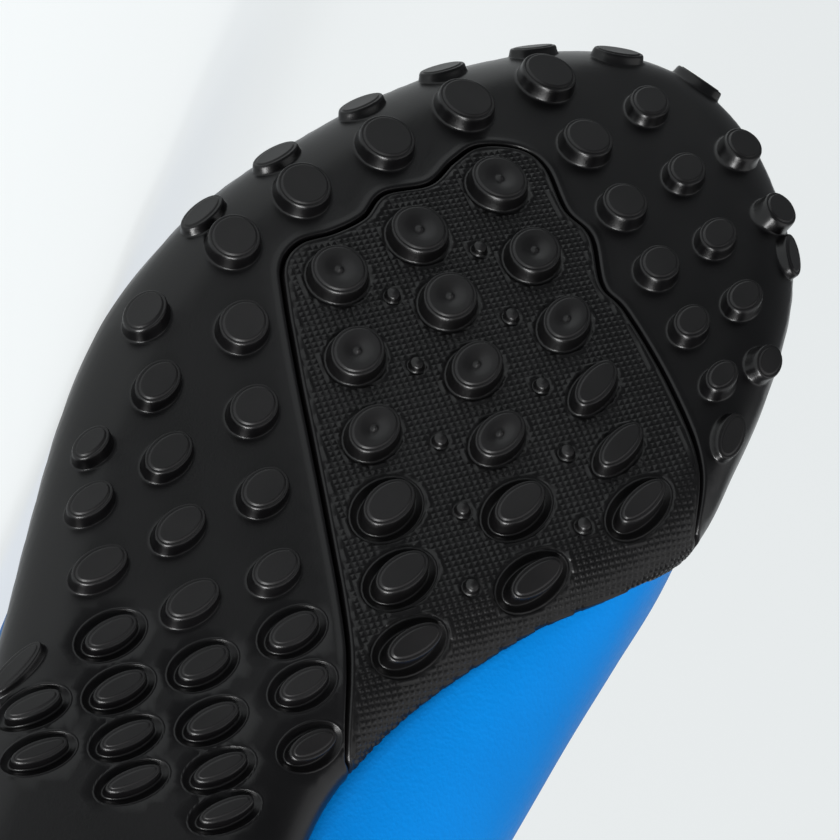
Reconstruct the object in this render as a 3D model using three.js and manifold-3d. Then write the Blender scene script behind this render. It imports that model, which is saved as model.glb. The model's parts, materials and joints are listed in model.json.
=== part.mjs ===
// A right turf shoe, lying on its outer side. Units are millimetres.
// Shoe axes: x from heel to toe, y to the inner side, z up from the ground under the studs.
import * as THREE from 'three';
import { mergeVertices } from 'three/addons/utils/BufferGeometryUtils.js';
import { ConvexHull } from 'three/addons/math/ConvexHull.js';
import Module from 'manifold-3d';

const wasm = await Module();
wasm.setup();

// Driving sizes of the sole
const soleLength = 288;
const ballWidth = 98;
const waistWidth = 55;
const heelWidth = 64;
const heelEndRadius = 32;
const toeEndRadius = 19;
const heelTipAcross = -1.5;
const toeTipAcross = 6.5;
const springStart = 195;
const springRadius = 216;
const studWidth = 9.4;
const studHeight = 2.8;
const lowStudHeight = 1.3;
const forefootThickness = 5;
const heelThickness = 12;
const lipHeight = 5;
const toeLipHeight = 8;
const rollRise = 6.5;
const lipInset = 0.4;
const insertThickness = 2.6;
const insertEdge = 3.5;
const grooveWidth = 0.9;
const seatEnd = 0.24;
const forefootStart = 0.58;
const toeLipStart = 0.80;
const toeLipEnd = 0.96;

// Driving sizes of the upper
const wall = 2;
const gap = 0.3;
const instepHeight = 92;
const rimThickness = 2.4;
const upperInset = 2;
const ridgeHeelEnd = 44;
const ridgeToeEnd = 246;
const ridgeShift = 2.5;
const collarBackHeight = 80;
const collarDipHeight = 66;
const collarFront = 104;
const throatEnd = 186;
const throatWidthToe = 15;
const throatWidthTop = 30;
const tongueThickness = 3.5;
const tongueUnderVamp = 14;
const tongueRise = 20;
const tongueOverlap = 9;
const tongueRounding = 0.6;
const insoleThickness = 3;
const insoleClearance = 1;
const laceWidth = 6.5;
const laceThickness = 1.5;
const laceCount = 6;
const lacePitchInset = 6.5;
const laceOverlap = 1;
const eyeletInset = 7.5;
const eyeletDiameter = 4.4;

// Resolution of the faceted surfaces
const stations = 36;
const rollSteps = 3;
const underSteps = 2;
const sideSteps = 6;
const studSides = 8;
const eyeletSides = 6;
const tongueSteps = 12;
const tongueColumns = 6;
const laceColumns = 8;

// Half widths of the sole's outline and of the upper at its widest, as shares of the size in `of`,
// at shares of the length from the heel.
const outlineRows = [
  { at: 0.06, of: heelWidth, soleOuter: 0.434, soleInner: 0.422, upperOuter: 0.395, upperInner: 0.395 },
  { at: 0.14, of: heelWidth, soleOuter: 0.500, soleInner: 0.477, upperOuter: 0.480, upperInner: 0.460 },
  { at: 0.24, of: heelWidth, soleOuter: 0.511, soleInner: 0.447, upperOuter: 0.570, upperInner: 0.505 },
  { at: 0.33, of: waistWidth, soleOuter: 0.656, soleInner: 0.335, upperOuter: 0.745, upperInner: 0.652 },
  { at: 0.41, of: waistWidth, soleOuter: 0.751, soleInner: 0.249, upperOuter: 0.800, upperInner: 0.692 },
  { at: 0.48, of: waistWidth, soleOuter: 0.858, soleInner: 0.304, upperOuter: 0.848, upperInner: 0.719 },
  { at: 0.56, of: ballWidth, soleOuter: 0.544, soleInner: 0.276, upperOuter: 0.510, upperInner: 0.410 },
  { at: 0.62, of: ballWidth, soleOuter: 0.570, soleInner: 0.383, upperOuter: 0.530, upperInner: 0.418 },
  { at: 0.665, of: ballWidth, soleOuter: 0.565, soleInner: 0.441, upperOuter: 0.530, upperInner: 0.424 },
  { at: 0.72, of: ballWidth, soleOuter: 0.540, soleInner: 0.439, upperOuter: 0.508, upperInner: 0.414 },
  { at: 0.80, of: ballWidth, soleOuter: 0.462, soleInner: 0.417, upperOuter: 0.434, upperInner: 0.389 },
  { at: 0.88, of: ballWidth, soleOuter: 0.362, soleInner: 0.357, upperOuter: 0.340, upperInner: 0.335 },
  { at: 0.95, of: ballWidth, soleOuter: 0.231, soleInner: 0.234, upperOuter: 0.215, upperInner: 0.218 },
];

// Heights of the upper, as shares of the instep height: girth is the height of its widest line above the
// feather edge, ridge the height of its top line above the ground. Square is how boxy its section is.
const heightRows = [
  { at: 0.00, girth: 0.22, ridge: 1.27, square: 2.1 },
  { at: 0.14, girth: 0.26, ridge: 1.33, square: 2.2 },
  { at: 0.27, girth: 0.30, ridge: 1.29, square: 2.2 },
  { at: 0.37, girth: 0.30, ridge: 1.12, square: 2.1 },
  { at: 0.44, girth: 0.28, ridge: 0.98, square: 2.1 },
  { at: 0.53, girth: 0.24, ridge: 0.86, square: 2.1 },
  { at: 0.62, girth: 0.19, ridge: 0.765, square: 2.2 },
  { at: 0.72, girth: 0.16, ridge: 0.67, square: 2.3 },
  { at: 0.82, girth: 0.13, ridge: 0.59, square: 2.4 },
  { at: 0.90, girth: 0.11, ridge: 0.535, square: 2.5 },
  { at: 1.00, girth: 0.10, ridge: 0.48, square: 2.6 },
];

// Width of the rolled edge under each side, in shares of the ball width
const rollRows = [
  { at: 0.00, outer: 0.09, inner: 0.09 },
  { at: 0.30, outer: 0.10, inner: 0.10 },
  { at: 0.42, outer: 0.10, inner: 0.13 },
  { at: 0.55, outer: 0.10, inner: 0.13 },
  { at: 0.66, outer: 0.11, inner: 0.09 },
  { at: 1.00, outer: 0.09, inner: 0.09 },
];

// A smooth curve through the rows of a table
function through(rows, key, at) {
  const last = rows.length - 1;
  if (at <= rows[0].at) return rows[0][key];
  if (at >= rows[last].at) return rows[last][key];
  let i = 0;
  while (at > rows[i + 1].at) i++;
  const slope = (k) => {
    const a = rows[Math.max(k - 1, 0)];
    const b = rows[Math.min(k + 1, last)];
    return (b[key] - a[key]) / (b.at - a.at);
  };
  const span = rows[i + 1].at - rows[i].at;
  const t = (at - rows[i].at) / span;
  const rise = rows[i + 1][key] - rows[i][key];
  const start = slope(i) * span - rise;
  const end = rise - slope(i + 1) * span;
  return rows[i][key] + t * rise + t * (1 - t) * ((1 - t) * start + t * end);
}

const clamp01 = (v) => Math.min(Math.max(v, 0), 1);
const ease = (v) => clamp01(v) ** 2 * (3 - 2 * clamp01(v));
const centreAcross = (at) => heelTipAcross + (toeTipAcross - heelTipAcross) * at;

// Toe spring of the ground side, and the height of the feather edge where upper and sole meet
function spring(x) {
  const past = Math.max(x - springStart, 0);
  return springRadius - Math.sqrt(springRadius ** 2 - Math.min(past, 0.9 * springRadius) ** 2);
}

function thickness(x) {
  const at = x / soleLength;
  const thin = ease((at - seatEnd) / (forefootStart - seatEnd));
  return heelThickness + (forefootThickness - heelThickness) * thin;
}

const feather = (x) => spring(x) + studHeight + thickness(x);

// Each outline is centre line plus and minus fullness times a half circle's height
function fullness(key, inset) {
  const length = soleLength - 2 * inset;
  const end = (radius) => Math.sqrt((radius - inset) * length / 2);
  const rows = outlineRows.map((row) => ({
    at: row.at,
    value: row[key] * row.of / Math.sqrt(4 * row.at * (1 - row.at)),
  }));
  return [{ at: 0, value: end(heelEndRadius) }, ...rows, { at: 1, value: end(toeEndRadius) }];
}

const full = {
  sole: { '-1': fullness('soleOuter', 0), 1: fullness('soleInner', 0) },
  upper: { '-1': fullness('upperOuter', upperInset), 1: fullness('upperInner', upperInset) },
};

// u runs from the heel tip (0) to the toe tip (1); side is -1 on the outer side and 1 on the inner side
function outline(kind, u, side) {
  const at = (1 - Math.cos(Math.PI * u)) / 2;
  const inset = kind === 'upper' ? upperInset : 0;
  const half = through(full[kind][side], 'value', at) * Math.sin(Math.PI * u);
  return new THREE.Vector2(inset + at * (soleLength - 2 * inset), centreAcross(at) + side * half);
}

function insetPoint(u, side, inset) {
  const step = 0.004;
  const a = outline('sole', u - step, side);
  const b = outline('sole', u + step, side);
  const along = b.sub(a).normalize();
  const p = outline('sole', u, side);
  return new THREE.Vector2(p.x + side * along.y * inset, p.y - side * along.x * inset);
}

// Closed solid of a geometry, with its faces pointing out
function toSolid(geometry) {
  const plain = new THREE.BufferGeometry();
  plain.setAttribute('position', geometry.getAttribute('position').clone());
  if (geometry.index) plain.setIndex(geometry.index.clone());
  const merged = mergeVertices(plain, 1e-4);
  const index = merged.index.array;
  const kept = [];
  for (let i = 0; i < index.length; i += 3) {
    const [a, b, c] = [index[i], index[i + 1], index[i + 2]];
    if (a !== b && b !== c && c !== a) kept.push(a, b, c);
  }
  const vertProperties = new Float32Array(merged.getAttribute('position').array);
  const make = (triVerts) => new wasm.Manifold(new wasm.Mesh({ numProp: 3, vertProperties, triVerts }));
  const solid = make(new Uint32Array(kept));
  return solid.volume() > 0 ? solid : make(new Uint32Array(kept).reverse());
}

function toGeometry(solid) {
  const { vertProperties, triVerts } = solid.getMesh();
  const geometry = new THREE.BufferGeometry();
  geometry.setAttribute('position', new THREE.BufferAttribute(new Float32Array(vertProperties), 3));
  geometry.setIndex(new THREE.BufferAttribute(new Uint32Array(triVerts), 1));
  geometry.computeVertexNormals();
  return geometry;
}

// Solid between ribs that run across the shoe: each rib is a list of points, the first and last
// ribs are folded shut, and the open ends of every rib are joined straight across
function ribSolid(ribs) {
  const points = ribs.flat();
  const width = ribs[0].length;
  const index = [];
  for (let j = 0; j + 1 < ribs.length; j++) {
    for (let i = 0; i < width; i++) {
      const next = (i + 1) % width;
      const [a, b] = [j * width + i, j * width + next];
      const [c, d] = [a + width, b + width];
      index.push(a, c, b, b, c, d);
    }
  }
  const geometry = new THREE.BufferGeometry().setFromPoints(points);
  geometry.setIndex(index);
  return toSolid(geometry);
}

// The sole's outer form: rolled edge, lip and flat lid, before anything is cut from it
function lipAt(x) {
  const share = ease((x / soleLength - toeLipStart) / (toeLipEnd - toeLipStart));
  return lipHeight + (toeLipHeight - lipHeight) * share;
}

function soleSide(u, side, lift, grow) {
  const at = (1 - Math.cos(Math.PI * u)) / 2;
  const roll = ballWidth * through(rollRows, side < 0 ? 'outer' : 'inner', at);
  const points = [];
  for (let r = 0; r <= rollSteps; r++) {
    const angle = (r / rollSteps) * Math.PI / 2;
    const p = insetPoint(u, side, roll * (1 - Math.sin(angle)) - grow);
    const height = studHeight + rollRise * (1 - Math.cos(angle)) + lift;
    points.push(new THREE.Vector3(p.x, p.y, spring(p.x) + height));
  }
  const lip = insetPoint(u, side, lipInset - grow);
  points.push(new THREE.Vector3(lip.x, lip.y, feather(lip.x) + lipAt(lip.x) + lift));
  return points;
}

function soleForm(lift, grow) {
  const ribs = [];
  for (let j = 0; j <= stations; j++) {
    const u = j / stations;
    ribs.push([...soleSide(u, -1, lift, grow).reverse(), ...soleSide(u, 1, lift, grow)]);
  }
  return ribSolid(ribs);
}

// The skin of the last: w is -1 at the outer feather edge, 0 on the ridge and 1 at the inner feather edge
const underShare = 0.22;
const ridgeFollow = 0.35;

function skin(u, w) {
  const side = w < 0 ? -1 : 1;
  const at = (1 - Math.cos(Math.PI * u)) / 2;
  const edge = insetPoint(u, side, rimThickness);
  const wide = outline('upper', u, side);
  const ridgeAt = (ridgeHeelEnd + (ridgeToeEnd - ridgeHeelEnd) * at) / soleLength;
  const low = feather(edge.x);
  const girth = low + instepHeight * through(heightRows, 'girth', at);
  const climb = 1 - Math.abs(w);
  if (climb < underShare) {
    const angle = (climb / underShare) * Math.PI / 2;
    const out = Math.sin(angle);
    return new THREE.Vector3(
      edge.x + (wide.x - edge.x) * out,
      edge.y + (wide.y - edge.y) * out,
      low + (girth - low) * (1 - Math.cos(angle)),
    );
  }
  const ridge = instepHeight * through(heightRows, 'ridge', ridgeAt);
  const top = ridge + ridgeFollow * spring(ridgeAt * soleLength);
  const square = through(heightRows, 'square', at);
  const angle = ((climb - underShare) / (1 - underShare)) * Math.PI / 2;
  const [c, s] = [Math.cos(angle), Math.sin(angle)];
  const reach = (Math.abs(c) ** square + Math.abs(s) ** square) ** (-1 / square);
  const ridgeX = ridgeAt * soleLength;
  const ridgeY = centreAcross(ridgeAt) + ridgeShift;
  return new THREE.Vector3(
    ridgeX + (wide.x - ridgeX) * c * reach,
    ridgeY + (wide.y - ridgeY) * c * reach,
    girth + (top - girth) * s * reach,
  );
}

function skinNormal(u, w) {
  const step = 0.01;
  const safeU = Math.min(Math.max(u, step), 1 - step);
  const safeW = Math.min(Math.max(w, -1 + step), 1 - step);
  const alongU = skin(safeU + step, safeW).sub(skin(safeU - step, safeW));
  const alongW = skin(safeU, safeW + step).sub(skin(safeU, safeW - step));
  const normal = alongU.cross(alongW).normalize();
  if (u > step && u < 1 - step) return normal;
  const mirrored = skin(safeU, -safeW + step).sub(skin(safeU, -safeW - step));
  const other = skin(safeU + step, -safeW).sub(skin(safeU - step, -safeW)).cross(mirrored).normalize();
  return normal.add(other).normalize();
}

const offSkin = (u, w, offset) => skin(u, w).addScaledVector(skinNormal(u, w), offset);

function skinForm(offset, skirt) {
  const climbs = [];
  for (let i = 0; i < underSteps; i++) climbs.push(underShare * i / underSteps);
  for (let i = 0; i < sideSteps; i++) climbs.push(underShare + (1 - underShare) * i / sideSteps);
  const ws = [...climbs.map((c) => c - 1), 0, ...climbs.map((c) => 1 - c).reverse()];
  const ribs = [];
  for (let j = 0; j <= stations; j++) {
    const u = j / stations;
    const rib = ws.map((w) => offSkin(u, w, offset));
    const feet = [rib[0], rib[rib.length - 1]].map((p) => p.clone());
    feet.forEach((p) => { p.z -= skirt; });
    ribs.push([feet[0], ...rib, feet[1]]);
  }
  return ribSolid(ribs);
}

// Curved slab on the skin, between two offsets: one row of points across the shoe at each x
function skinSlab(xList, halfWidth, columns, low, high) {
  const ribs = xList.map((x) => {
    const reach = outFromRidge(x, halfWidth(x));
    const places = Array.from({ length: columns + 1 }, (_, i) => reach * (2 * i / columns - 1));
    const row = (offset) => places.map((w) => offSkin(shareAt(x, w), w, offset));
    return [...row(low), ...row(high).reverse()];
  });
  return slabSolid(ribs);
}

// Solid from rings of points, with flat end caps across the first and last ring
function slabSolid(rings) {
  const width = rings[0].length;
  const points = rings.flat();
  const index = [];
  for (let j = 0; j + 1 < rings.length; j++) {
    for (let i = 0; i < width; i++) {
      const next = (i + 1) % width;
      const [a, b] = [j * width + i, j * width + next];
      index.push(a, b, a + width, b, b + width, a + width);
    }
  }
  const cap = (base, flip) => {
    for (let i = 0; i + 1 < width / 2; i++) {
      const [a, b, c, d] = [i, i + 1, width - 2 - i, width - 1 - i].map((k) => base + k);
      index.push(...(flip ? [a, c, b, a, d, c] : [a, b, c, a, c, d]));
    }
  };
  cap(0, true);
  cap((rings.length - 1) * width, false);
  const geometry = new THREE.BufferGeometry().setFromPoints(points);
  geometry.setIndex(index);
  return toSolid(geometry);
}

// Height of the sole's ground side at a place, and its outward direction there
const edgeSamples = [];
for (let k = 0; k <= 240; k++) {
  for (const side of [-1, 1]) edgeSamples.push({ p: outline('sole', k / 240, side), side, u: k / 240 });
}

function underside(x, y) {
  let nearest = edgeSamples[0];
  let best = Infinity;
  for (const sample of edgeSamples) {
    const d = Math.hypot(sample.p.x - x, sample.p.y - y);
    if (d < best) [best, nearest] = [d, sample];
  }
  const at = (1 - Math.cos(Math.PI * nearest.u)) / 2;
  const roll = ballWidth * through(rollRows, nearest.side < 0 ? 'outer' : 'inner', at);
  const out = clamp01(1 - best / roll);
  return spring(x) + studHeight + rollRise * (1 - Math.sqrt(Math.max(1 - out * out, 0)));
}

function undersideFrame(x, y) {
  const step = 0.8;
  const slopeX = (underside(x + step, y) - underside(x - step, y)) / (2 * step);
  const slopeY = (underside(x, y + step) - underside(x, y - step)) / (2 * step);
  return {
    point: new THREE.Vector3(x, y, underside(x, y)),
    out: new THREE.Vector3(slopeX, slopeY, -1).normalize(),
  };
}

// A stud is a short cone of oval section that starts inside the sole
const studTaper = 0.7;
const studSink = 1.6;

function stud(place, size, turn, height) {
  const total = height + studSink;
  const flare = (studTaper * total / height);
  const geometry = new THREE.CylinderGeometry(0.5, 0.5, total, studSides);
  const position = geometry.getAttribute('position');
  for (let i = 0; i < position.count; i++) {
    const grow = position.getY(i) > 0 ? 0 : flare;
    const [x, z] = [position.getX(i), position.getZ(i)];
    position.setX(i, x * (size[0] + 2 * grow));
    position.setZ(i, z * (size[1] + 2 * grow));
  }
  geometry.rotateX(Math.PI / 2);
  const forward = new THREE.Vector3(Math.cos(turn), Math.sin(turn), 0);
  const out = place.out;
  const x = forward.clone().addScaledVector(out, -forward.dot(out)).normalize();
  const y = out.clone().cross(x);
  const matrix = new THREE.Matrix4().makeBasis(x, y, out);
  const centre = place.point.clone().addScaledVector(out, (height - studSink) / 2);
  matrix.setPosition(centre);
  geometry.applyMatrix4(matrix);
  return toSolid(geometry);
}

// Rows of studs run from the toe's outer side to the heel's inner side. Each row passes through three
// places, in shares of sole length and ball width. Sizes are length and width of the flat end in shares of
// the stud width, and turns are degrees off the shoe's length towards the inner side, from the row's first
// stud to its last.
const toeShare = 0.85;
const studRows = [
  { name: 'toe_3', count: 2, from: [0.937, 0.237], via: [0.917, 0.288], to: [0.896, 0.339],
    first: [0.90, 0.53], last: [0.74, 0.43], turn: [0, 10], height: toeShare * studHeight },
  { name: 'toe_2', count: 5, from: [0.934, 0.063], via: [0.853, 0.277], to: [0.785, 0.440],
    first: [0.96, 0.69], last: [0.69, 0.38], turn: [0, 12], height: toeShare * studHeight },
  { name: 'toe_1', count: 6, from: [0.914, -0.111], via: [0.825, 0.166], to: [0.755, 0.393],
    first: [1.00, 0.98], last: [0.74, 0.47], turn: [0, 10], height: studHeight },
  { name: 'edge_a', count: 1, from: [0.859, -0.204], via: [0.859, -0.204], to: [0.859, -0.204],
    first: [1.02, 1.00], last: [1.02, 1.00], turn: [0, 0], height: studHeight },
  { name: 'edge_b', count: 1, from: [0.802, -0.282], via: [0.802, -0.282], to: [0.802, -0.282],
    first: [1.00, 0.96], last: [1.00, 0.96], turn: [0, 0], height: studHeight },
  { name: 'edge_c', count: 1, from: [0.743, -0.357], via: [0.743, -0.357], to: [0.743, -0.357],
    first: [0.96, 0.91], last: [0.96, 0.91], turn: [0, 0], height: studHeight },
  { name: 'outer_d', count: 5, from: [0.690, -0.409], via: [0.598, -0.241], to: [0.5146, -0.082],
    first: [0.91, 0.85], last: [0.91, 0.60], turn: [0, 22], height: studHeight },
  { name: 'outer_e', count: 5, from: [0.622, -0.466], via: [0.548, -0.320], to: [0.475, -0.171],
    first: [0.89, 0.64], last: [1.02, 0.57], turn: [5, 24], height: studHeight },
  { name: 'outer_f', count: 3, from: [0.533, -0.429], via: [0.501, -0.386], to: [0.468, -0.322],
    first: [0.74, 0.45], last: [1.02, 0.57], turn: [15, 26], height: studHeight },
];

const lowRows = [
  { name: 'edge_bar', count: 1, from: [0.396, -0.352], via: [0.396, -0.352], to: [0.396, -0.352],
    first: [1.15, 0.36], last: [1.15, 0.36], turn: [18, 18], height: lowStudHeight },
  { name: 'waist_d', count: 3, from: [0.4837, -0.013], via: [0.4573, 0.042], to: [0.428, 0.097],
    first: [0.96, 0.50], last: [0.96, 0.38], turn: [26, 30], height: lowStudHeight },
  { name: 'waist_e', count: 4, from: [0.4427, -0.108], via: [0.402, -0.029], to: [0.370, 0.033],
    first: [0.96, 0.43], last: [0.96, 0.38], turn: [28, 36], height: lowStudHeight },
  { name: 'waist_f', count: 4, from: [0.4323, -0.255], via: [0.394, -0.177], to: [0.3615, -0.113],
    first: [0.96, 0.43], last: [0.96, 0.38], turn: [28, 36], height: lowStudHeight },
  { name: 'waist_g', count: 2, from: [0.374, -0.301], via: [0.363, -0.279], to: [0.352, -0.257],
    first: [0.96, 0.40], last: [0.96, 0.38], turn: [36, 38], height: lowStudHeight },
];

const insertRows = [
  { name: 'insert_a', count: 6, from: [0.813, -0.086], via: [0.726, 0.174], to: [0.6555, 0.373],
    first: [1.00, 0.98], last: [1.12, 0.47], turn: [0, 16], height: studHeight },
  { name: 'insert_b', count: 6, from: [0.752, -0.156], via: [0.670, 0.080], to: [0.5854, 0.277],
    first: [1.00, 0.98], last: [1.06, 0.47], turn: [0, 24], height: studHeight },
  { name: 'insert_c', count: 6, from: [0.702, -0.235], via: [0.601, -0.017], to: [0.515, 0.157],
    first: [0.98, 0.96], last: [1.06, 0.47], turn: [0, 28], height: studHeight },
];

const heelRows = [
  { name: 'heel_a', count: 3, from: [0.268, -0.235], via: [0.247, -0.095], to: [0.226, 0.045],
    first: [0.89, 0.68], last: [0.89, 0.68], turn: [30, 30], height: studHeight },
  { name: 'heel_b', count: 5, from: [0.222, -0.262], via: [0.176, 0.0], to: [0.130, 0.232],
    first: [0.94, 0.77], last: [0.89, 0.68], turn: [24, 24], height: studHeight },
  { name: 'heel_c', count: 5, from: [0.165, -0.262], via: [0.118, -0.02], to: [0.075, 0.200],
    first: [0.96, 0.85], last: [0.89, 0.74], turn: [16, 16], height: studHeight },
  { name: 'heel_d', count: 4, from: [0.106, -0.240], via: [0.073, -0.075], to: [0.040, 0.085],
    first: [0.96, 0.91], last: [0.91, 0.85], turn: [0, 0], height: studHeight },
  { name: 'heel_e', count: 1, from: [0.268, 0.205], via: [0.268, 0.205], to: [0.268, 0.205],
    first: [0.89, 0.53], last: [0.89, 0.53], turn: [20, 20], height: studHeight },
  { name: 'heel_f', count: 1, from: [0.192, 0.235], via: [0.192, 0.235], to: [0.192, 0.235],
    first: [0.89, 0.57], last: [0.89, 0.57], turn: [15, 15], height: studHeight },
];

function rowStuds(row) {
  const found = [];
  for (let k = 0; k < row.count; k++) {
    const t = row.count > 1 ? k / (row.count - 1) : 0;
    const [a, b, c] = [(1 - t) * (1 - 2 * t), 4 * t * (1 - t), t * (2 * t - 1)];
    const blend = (axis) => a * row.from[axis] + b * row.via[axis] + c * row.to[axis];
    const mix = (pair) => pair[0] + (pair[1] - pair[0]) * t;
    const size = [0, 1].map((axis) => studWidth * mix([row.first[axis], row.last[axis]]));
    const place = undersideFrame(blend(0) * soleLength, blend(1) * ballWidth);
    found.push(stud(place, size, THREE.MathUtils.degToRad(mix(row.turn)), row.height));
  }
  return found;
}

// Rim studs stand on the rolled edge: at is the share of the half turn round the outline, lean the place
// on the roll
const rimStuds = [
  { side: -1, at: 0.634, lean: 0.50 },
  { side: -1, at: 0.678, lean: 0.52 },
  { side: -1, at: 0.730, lean: 0.54 },
  { side: -1, at: 0.784, lean: 0.54 },
  { side: -1, at: 0.852, lean: 0.56 },
  { side: -1, at: 0.926, lean: 0.46 },
  { side: 1, at: 0.970, lean: 0.56 },
  { side: 1, at: 0.774, lean: 0.56 },
  { side: 1, at: 0.650, lean: 0.40 },
];
const rimShare = 0.5;
const rimStudSize = [0.95 * studWidth, 0.50 * studWidth];

function rimStud({ side, at, lean }) {
  const share = (1 - Math.cos(Math.PI * at)) / 2;
  const roll = ballWidth * through(rollRows, side < 0 ? 'outer' : 'inner', share);
  const angle = lean * Math.PI / 2;
  const p = insetPoint(at, side, roll * (1 - Math.sin(angle)));
  const rim = insetPoint(at, side, 0);
  const away = rim.clone().sub(insetPoint(at, side, 1));
  const point = new THREE.Vector3(p.x, p.y, spring(p.x) + studHeight + rollRise * (1 - Math.cos(angle)));
  const out = new THREE.Vector3(away.x * Math.sin(angle), away.y * Math.sin(angle), -Math.cos(angle));
  const along = Math.atan2(side * away.x, -side * away.y) + Math.PI;
  return stud({ point, out: out.normalize() }, rimStudSize, along, rimShare * studHeight);
}

const joined = (solids) => solids.reduce((sum, solid) => sum.add(solid));

// Line of the groove round the forefoot insert, in shares of sole length and ball width; both ends run out
// past the inner edge of the sole
const grooveLine = [
  [0.395, 0.285], [0.439, 0.164], [0.501, 0.069], [0.568, -0.066], [0.634, -0.206], [0.674, -0.287],
  [0.694, -0.320], [0.712, -0.315], [0.729, -0.276], [0.748, -0.247], [0.770, -0.239], [0.792, -0.183],
  [0.817, -0.168], [0.837, -0.146], [0.850, -0.086], [0.846, -0.034], [0.822, 0.031], [0.812, 0.091],
  [0.782, 0.147], [0.772, 0.203], [0.739, 0.321], [0.699, 0.429], [0.655, 0.490], [0.630, 0.600],
];
const grooveSamples = 42;
const cutDepth = 40;

function insertPrism(grow) {
  const places = grooveLine.map(([a, b]) => new THREE.Vector2(a * soleLength, b * ballWidth));
  const curve = new THREE.SplineCurve(places);
  const line = curve.getPoints(grooveSamples);
  const shifted = line.map((p, i) => {
    const a = line[Math.max(i - 1, 0)];
    const b = line[Math.min(i + 1, line.length - 1)];
    const along = b.clone().sub(a).normalize();
    return new THREE.Vector2(p.x + along.y * grow, p.y - along.x * grow);
  });
  const shape = new THREE.Shape([
    ...shifted,
    new THREE.Vector2(shifted[shifted.length - 1].x, ballWidth),
    new THREE.Vector2(shifted[0].x, ballWidth),
  ]);
  const geometry = new THREE.ExtrudeGeometry(shape, { depth: cutDepth, bevelEnabled: false });
  geometry.translate(0, 0, -cutDepth / 4);
  return toSolid(geometry);
}

function makeOutsole(form) {
  const pocket = insertPrism(grooveWidth).subtract(soleForm(insertThickness + gap, -insertEdge - gap));
  const lugs = [...studRows, ...lowRows, ...heelRows].flatMap(rowStuds);
  const body = form.subtract(pocket).add(joined([...lugs, ...rimStuds.map(rimStud)]));
  return body.subtract(skinForm(gap, gap)).subtract(pocket);
}

function makeInsert(form) {
  const plate = form.intersect(insertPrism(0)).subtract(soleForm(insertThickness, -insertEdge));
  return plate.add(joined(insertRows.flatMap(rowStuds))).subtract(skinForm(gap, gap));
}

function makeInsole() {
  const edge = rimThickness + wall + insoleClearance;
  const ribs = [];
  for (let j = 1; j < stations; j += 2) {
    const u = j / stations;
    const [a, b] = [insetPoint(u, -1, edge), insetPoint(u, 1, edge)];
    const at = (p, lift) => new THREE.Vector3(p.x, p.y, feather(p.x) + lift);
    ribs.push([at(a, gap), at(b, gap), at(b, gap + insoleThickness), at(a, gap + insoleThickness)]);
  }
  return slabSolid(ribs);
}

// Places on the instep: the share u where the skin at w has a given x, and the w that lies a given way
// out from the ridge at that x
function shareAt(x, w) {
  let [low, high] = [0.02, 0.98];
  for (let k = 0; k < 24; k++) {
    const u = (low + high) / 2;
    if (skin(u, w).x < x) low = u;
    else high = u;
  }
  return (low + high) / 2;
}

function outFromRidge(x, distance) {
  const ridge = skin(shareAt(x, 0), 0);
  let [low, high] = [0, 0.75];
  for (let k = 0; k < 24; k++) {
    const w = (low + high) / 2;
    if (skin(shareAt(x, w), w).distanceTo(ridge) < distance) low = w;
    else high = w;
  }
  return (low + high) / 2;
}

const throatHalf = (x) => {
  const share = (throatEnd - x) / (throatEnd - collarFront);
  return (throatWidthToe + (throatWidthTop - throatWidthToe) * share) / 2;
};

const throatSegments = 8;

function throatTool() {
  const shape = new THREE.Shape();
  const across = (x) => centreAcross(x / soleLength) + ridgeShift;
  const back = collarFront - tongueRise;
  shape.moveTo(back, across(back) - throatHalf(back));
  shape.lineTo(throatEnd, across(throatEnd) - throatHalf(throatEnd));
  shape.absarc(throatEnd, across(throatEnd), throatHalf(throatEnd), -Math.PI / 2, Math.PI / 2, false);
  shape.lineTo(back, across(back) + throatHalf(back));
  const settings = { depth: 2 * instepHeight, bevelEnabled: false, curveSegments: throatSegments };
  const geometry = new THREE.ExtrudeGeometry(shape, settings);
  geometry.translate(0, 0, instepHeight / 2);
  return toSolid(geometry);
}

// Side line of the collar, in shares of the collar's length from the heel: dip is how far the line has come
// down from the back to the dip, and climb how far it has gone up from the dip to the instep
const collarRows = [
  { at: -0.12, dip: -0.07, climb: 0 },
  { at: 0.08, dip: 0, climb: 0 },
  { at: 0.27, dip: 0.5, climb: 0 },
  { at: 0.52, dip: 1, climb: 0 },
  { at: 0.76, dip: 1, climb: 0.18 },
  { at: 0.93, dip: 1, climb: 0.58 },
  { at: 1.02, dip: 1, climb: 1 },
];
const collarTop = 1.09;
const collarSamples = 18;

function collarTool() {
  const fall = collarBackHeight - collarDipHeight;
  const rise = collarTop * instepHeight - collarDipHeight;
  const curve = new THREE.SplineCurve(collarRows.map((row) => (
    new THREE.Vector2(row.at * collarFront, collarBackHeight - row.dip * fall + row.climb * rise)
  )));
  const line = curve.getPoints(collarSamples);
  const shape = new THREE.Shape([
    ...line,
    new THREE.Vector2(line[collarSamples].x, 2 * instepHeight),
    new THREE.Vector2(line[0].x, 2 * instepHeight),
  ]);
  const geometry = new THREE.ExtrudeGeometry(shape, { depth: 2 * ballWidth, bevelEnabled: false });
  geometry.rotateX(Math.PI / 2);
  geometry.translate(0, ballWidth, 0);
  return toSolid(geometry);
}

const laceFront = throatEnd - lacePitchInset;
const lacePitch = (laceFront - collarFront - lacePitchInset) / (laceCount - 1);
const lacePlaces = Array.from({ length: laceCount }, (_, k) => laceFront - k * lacePitch);

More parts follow.
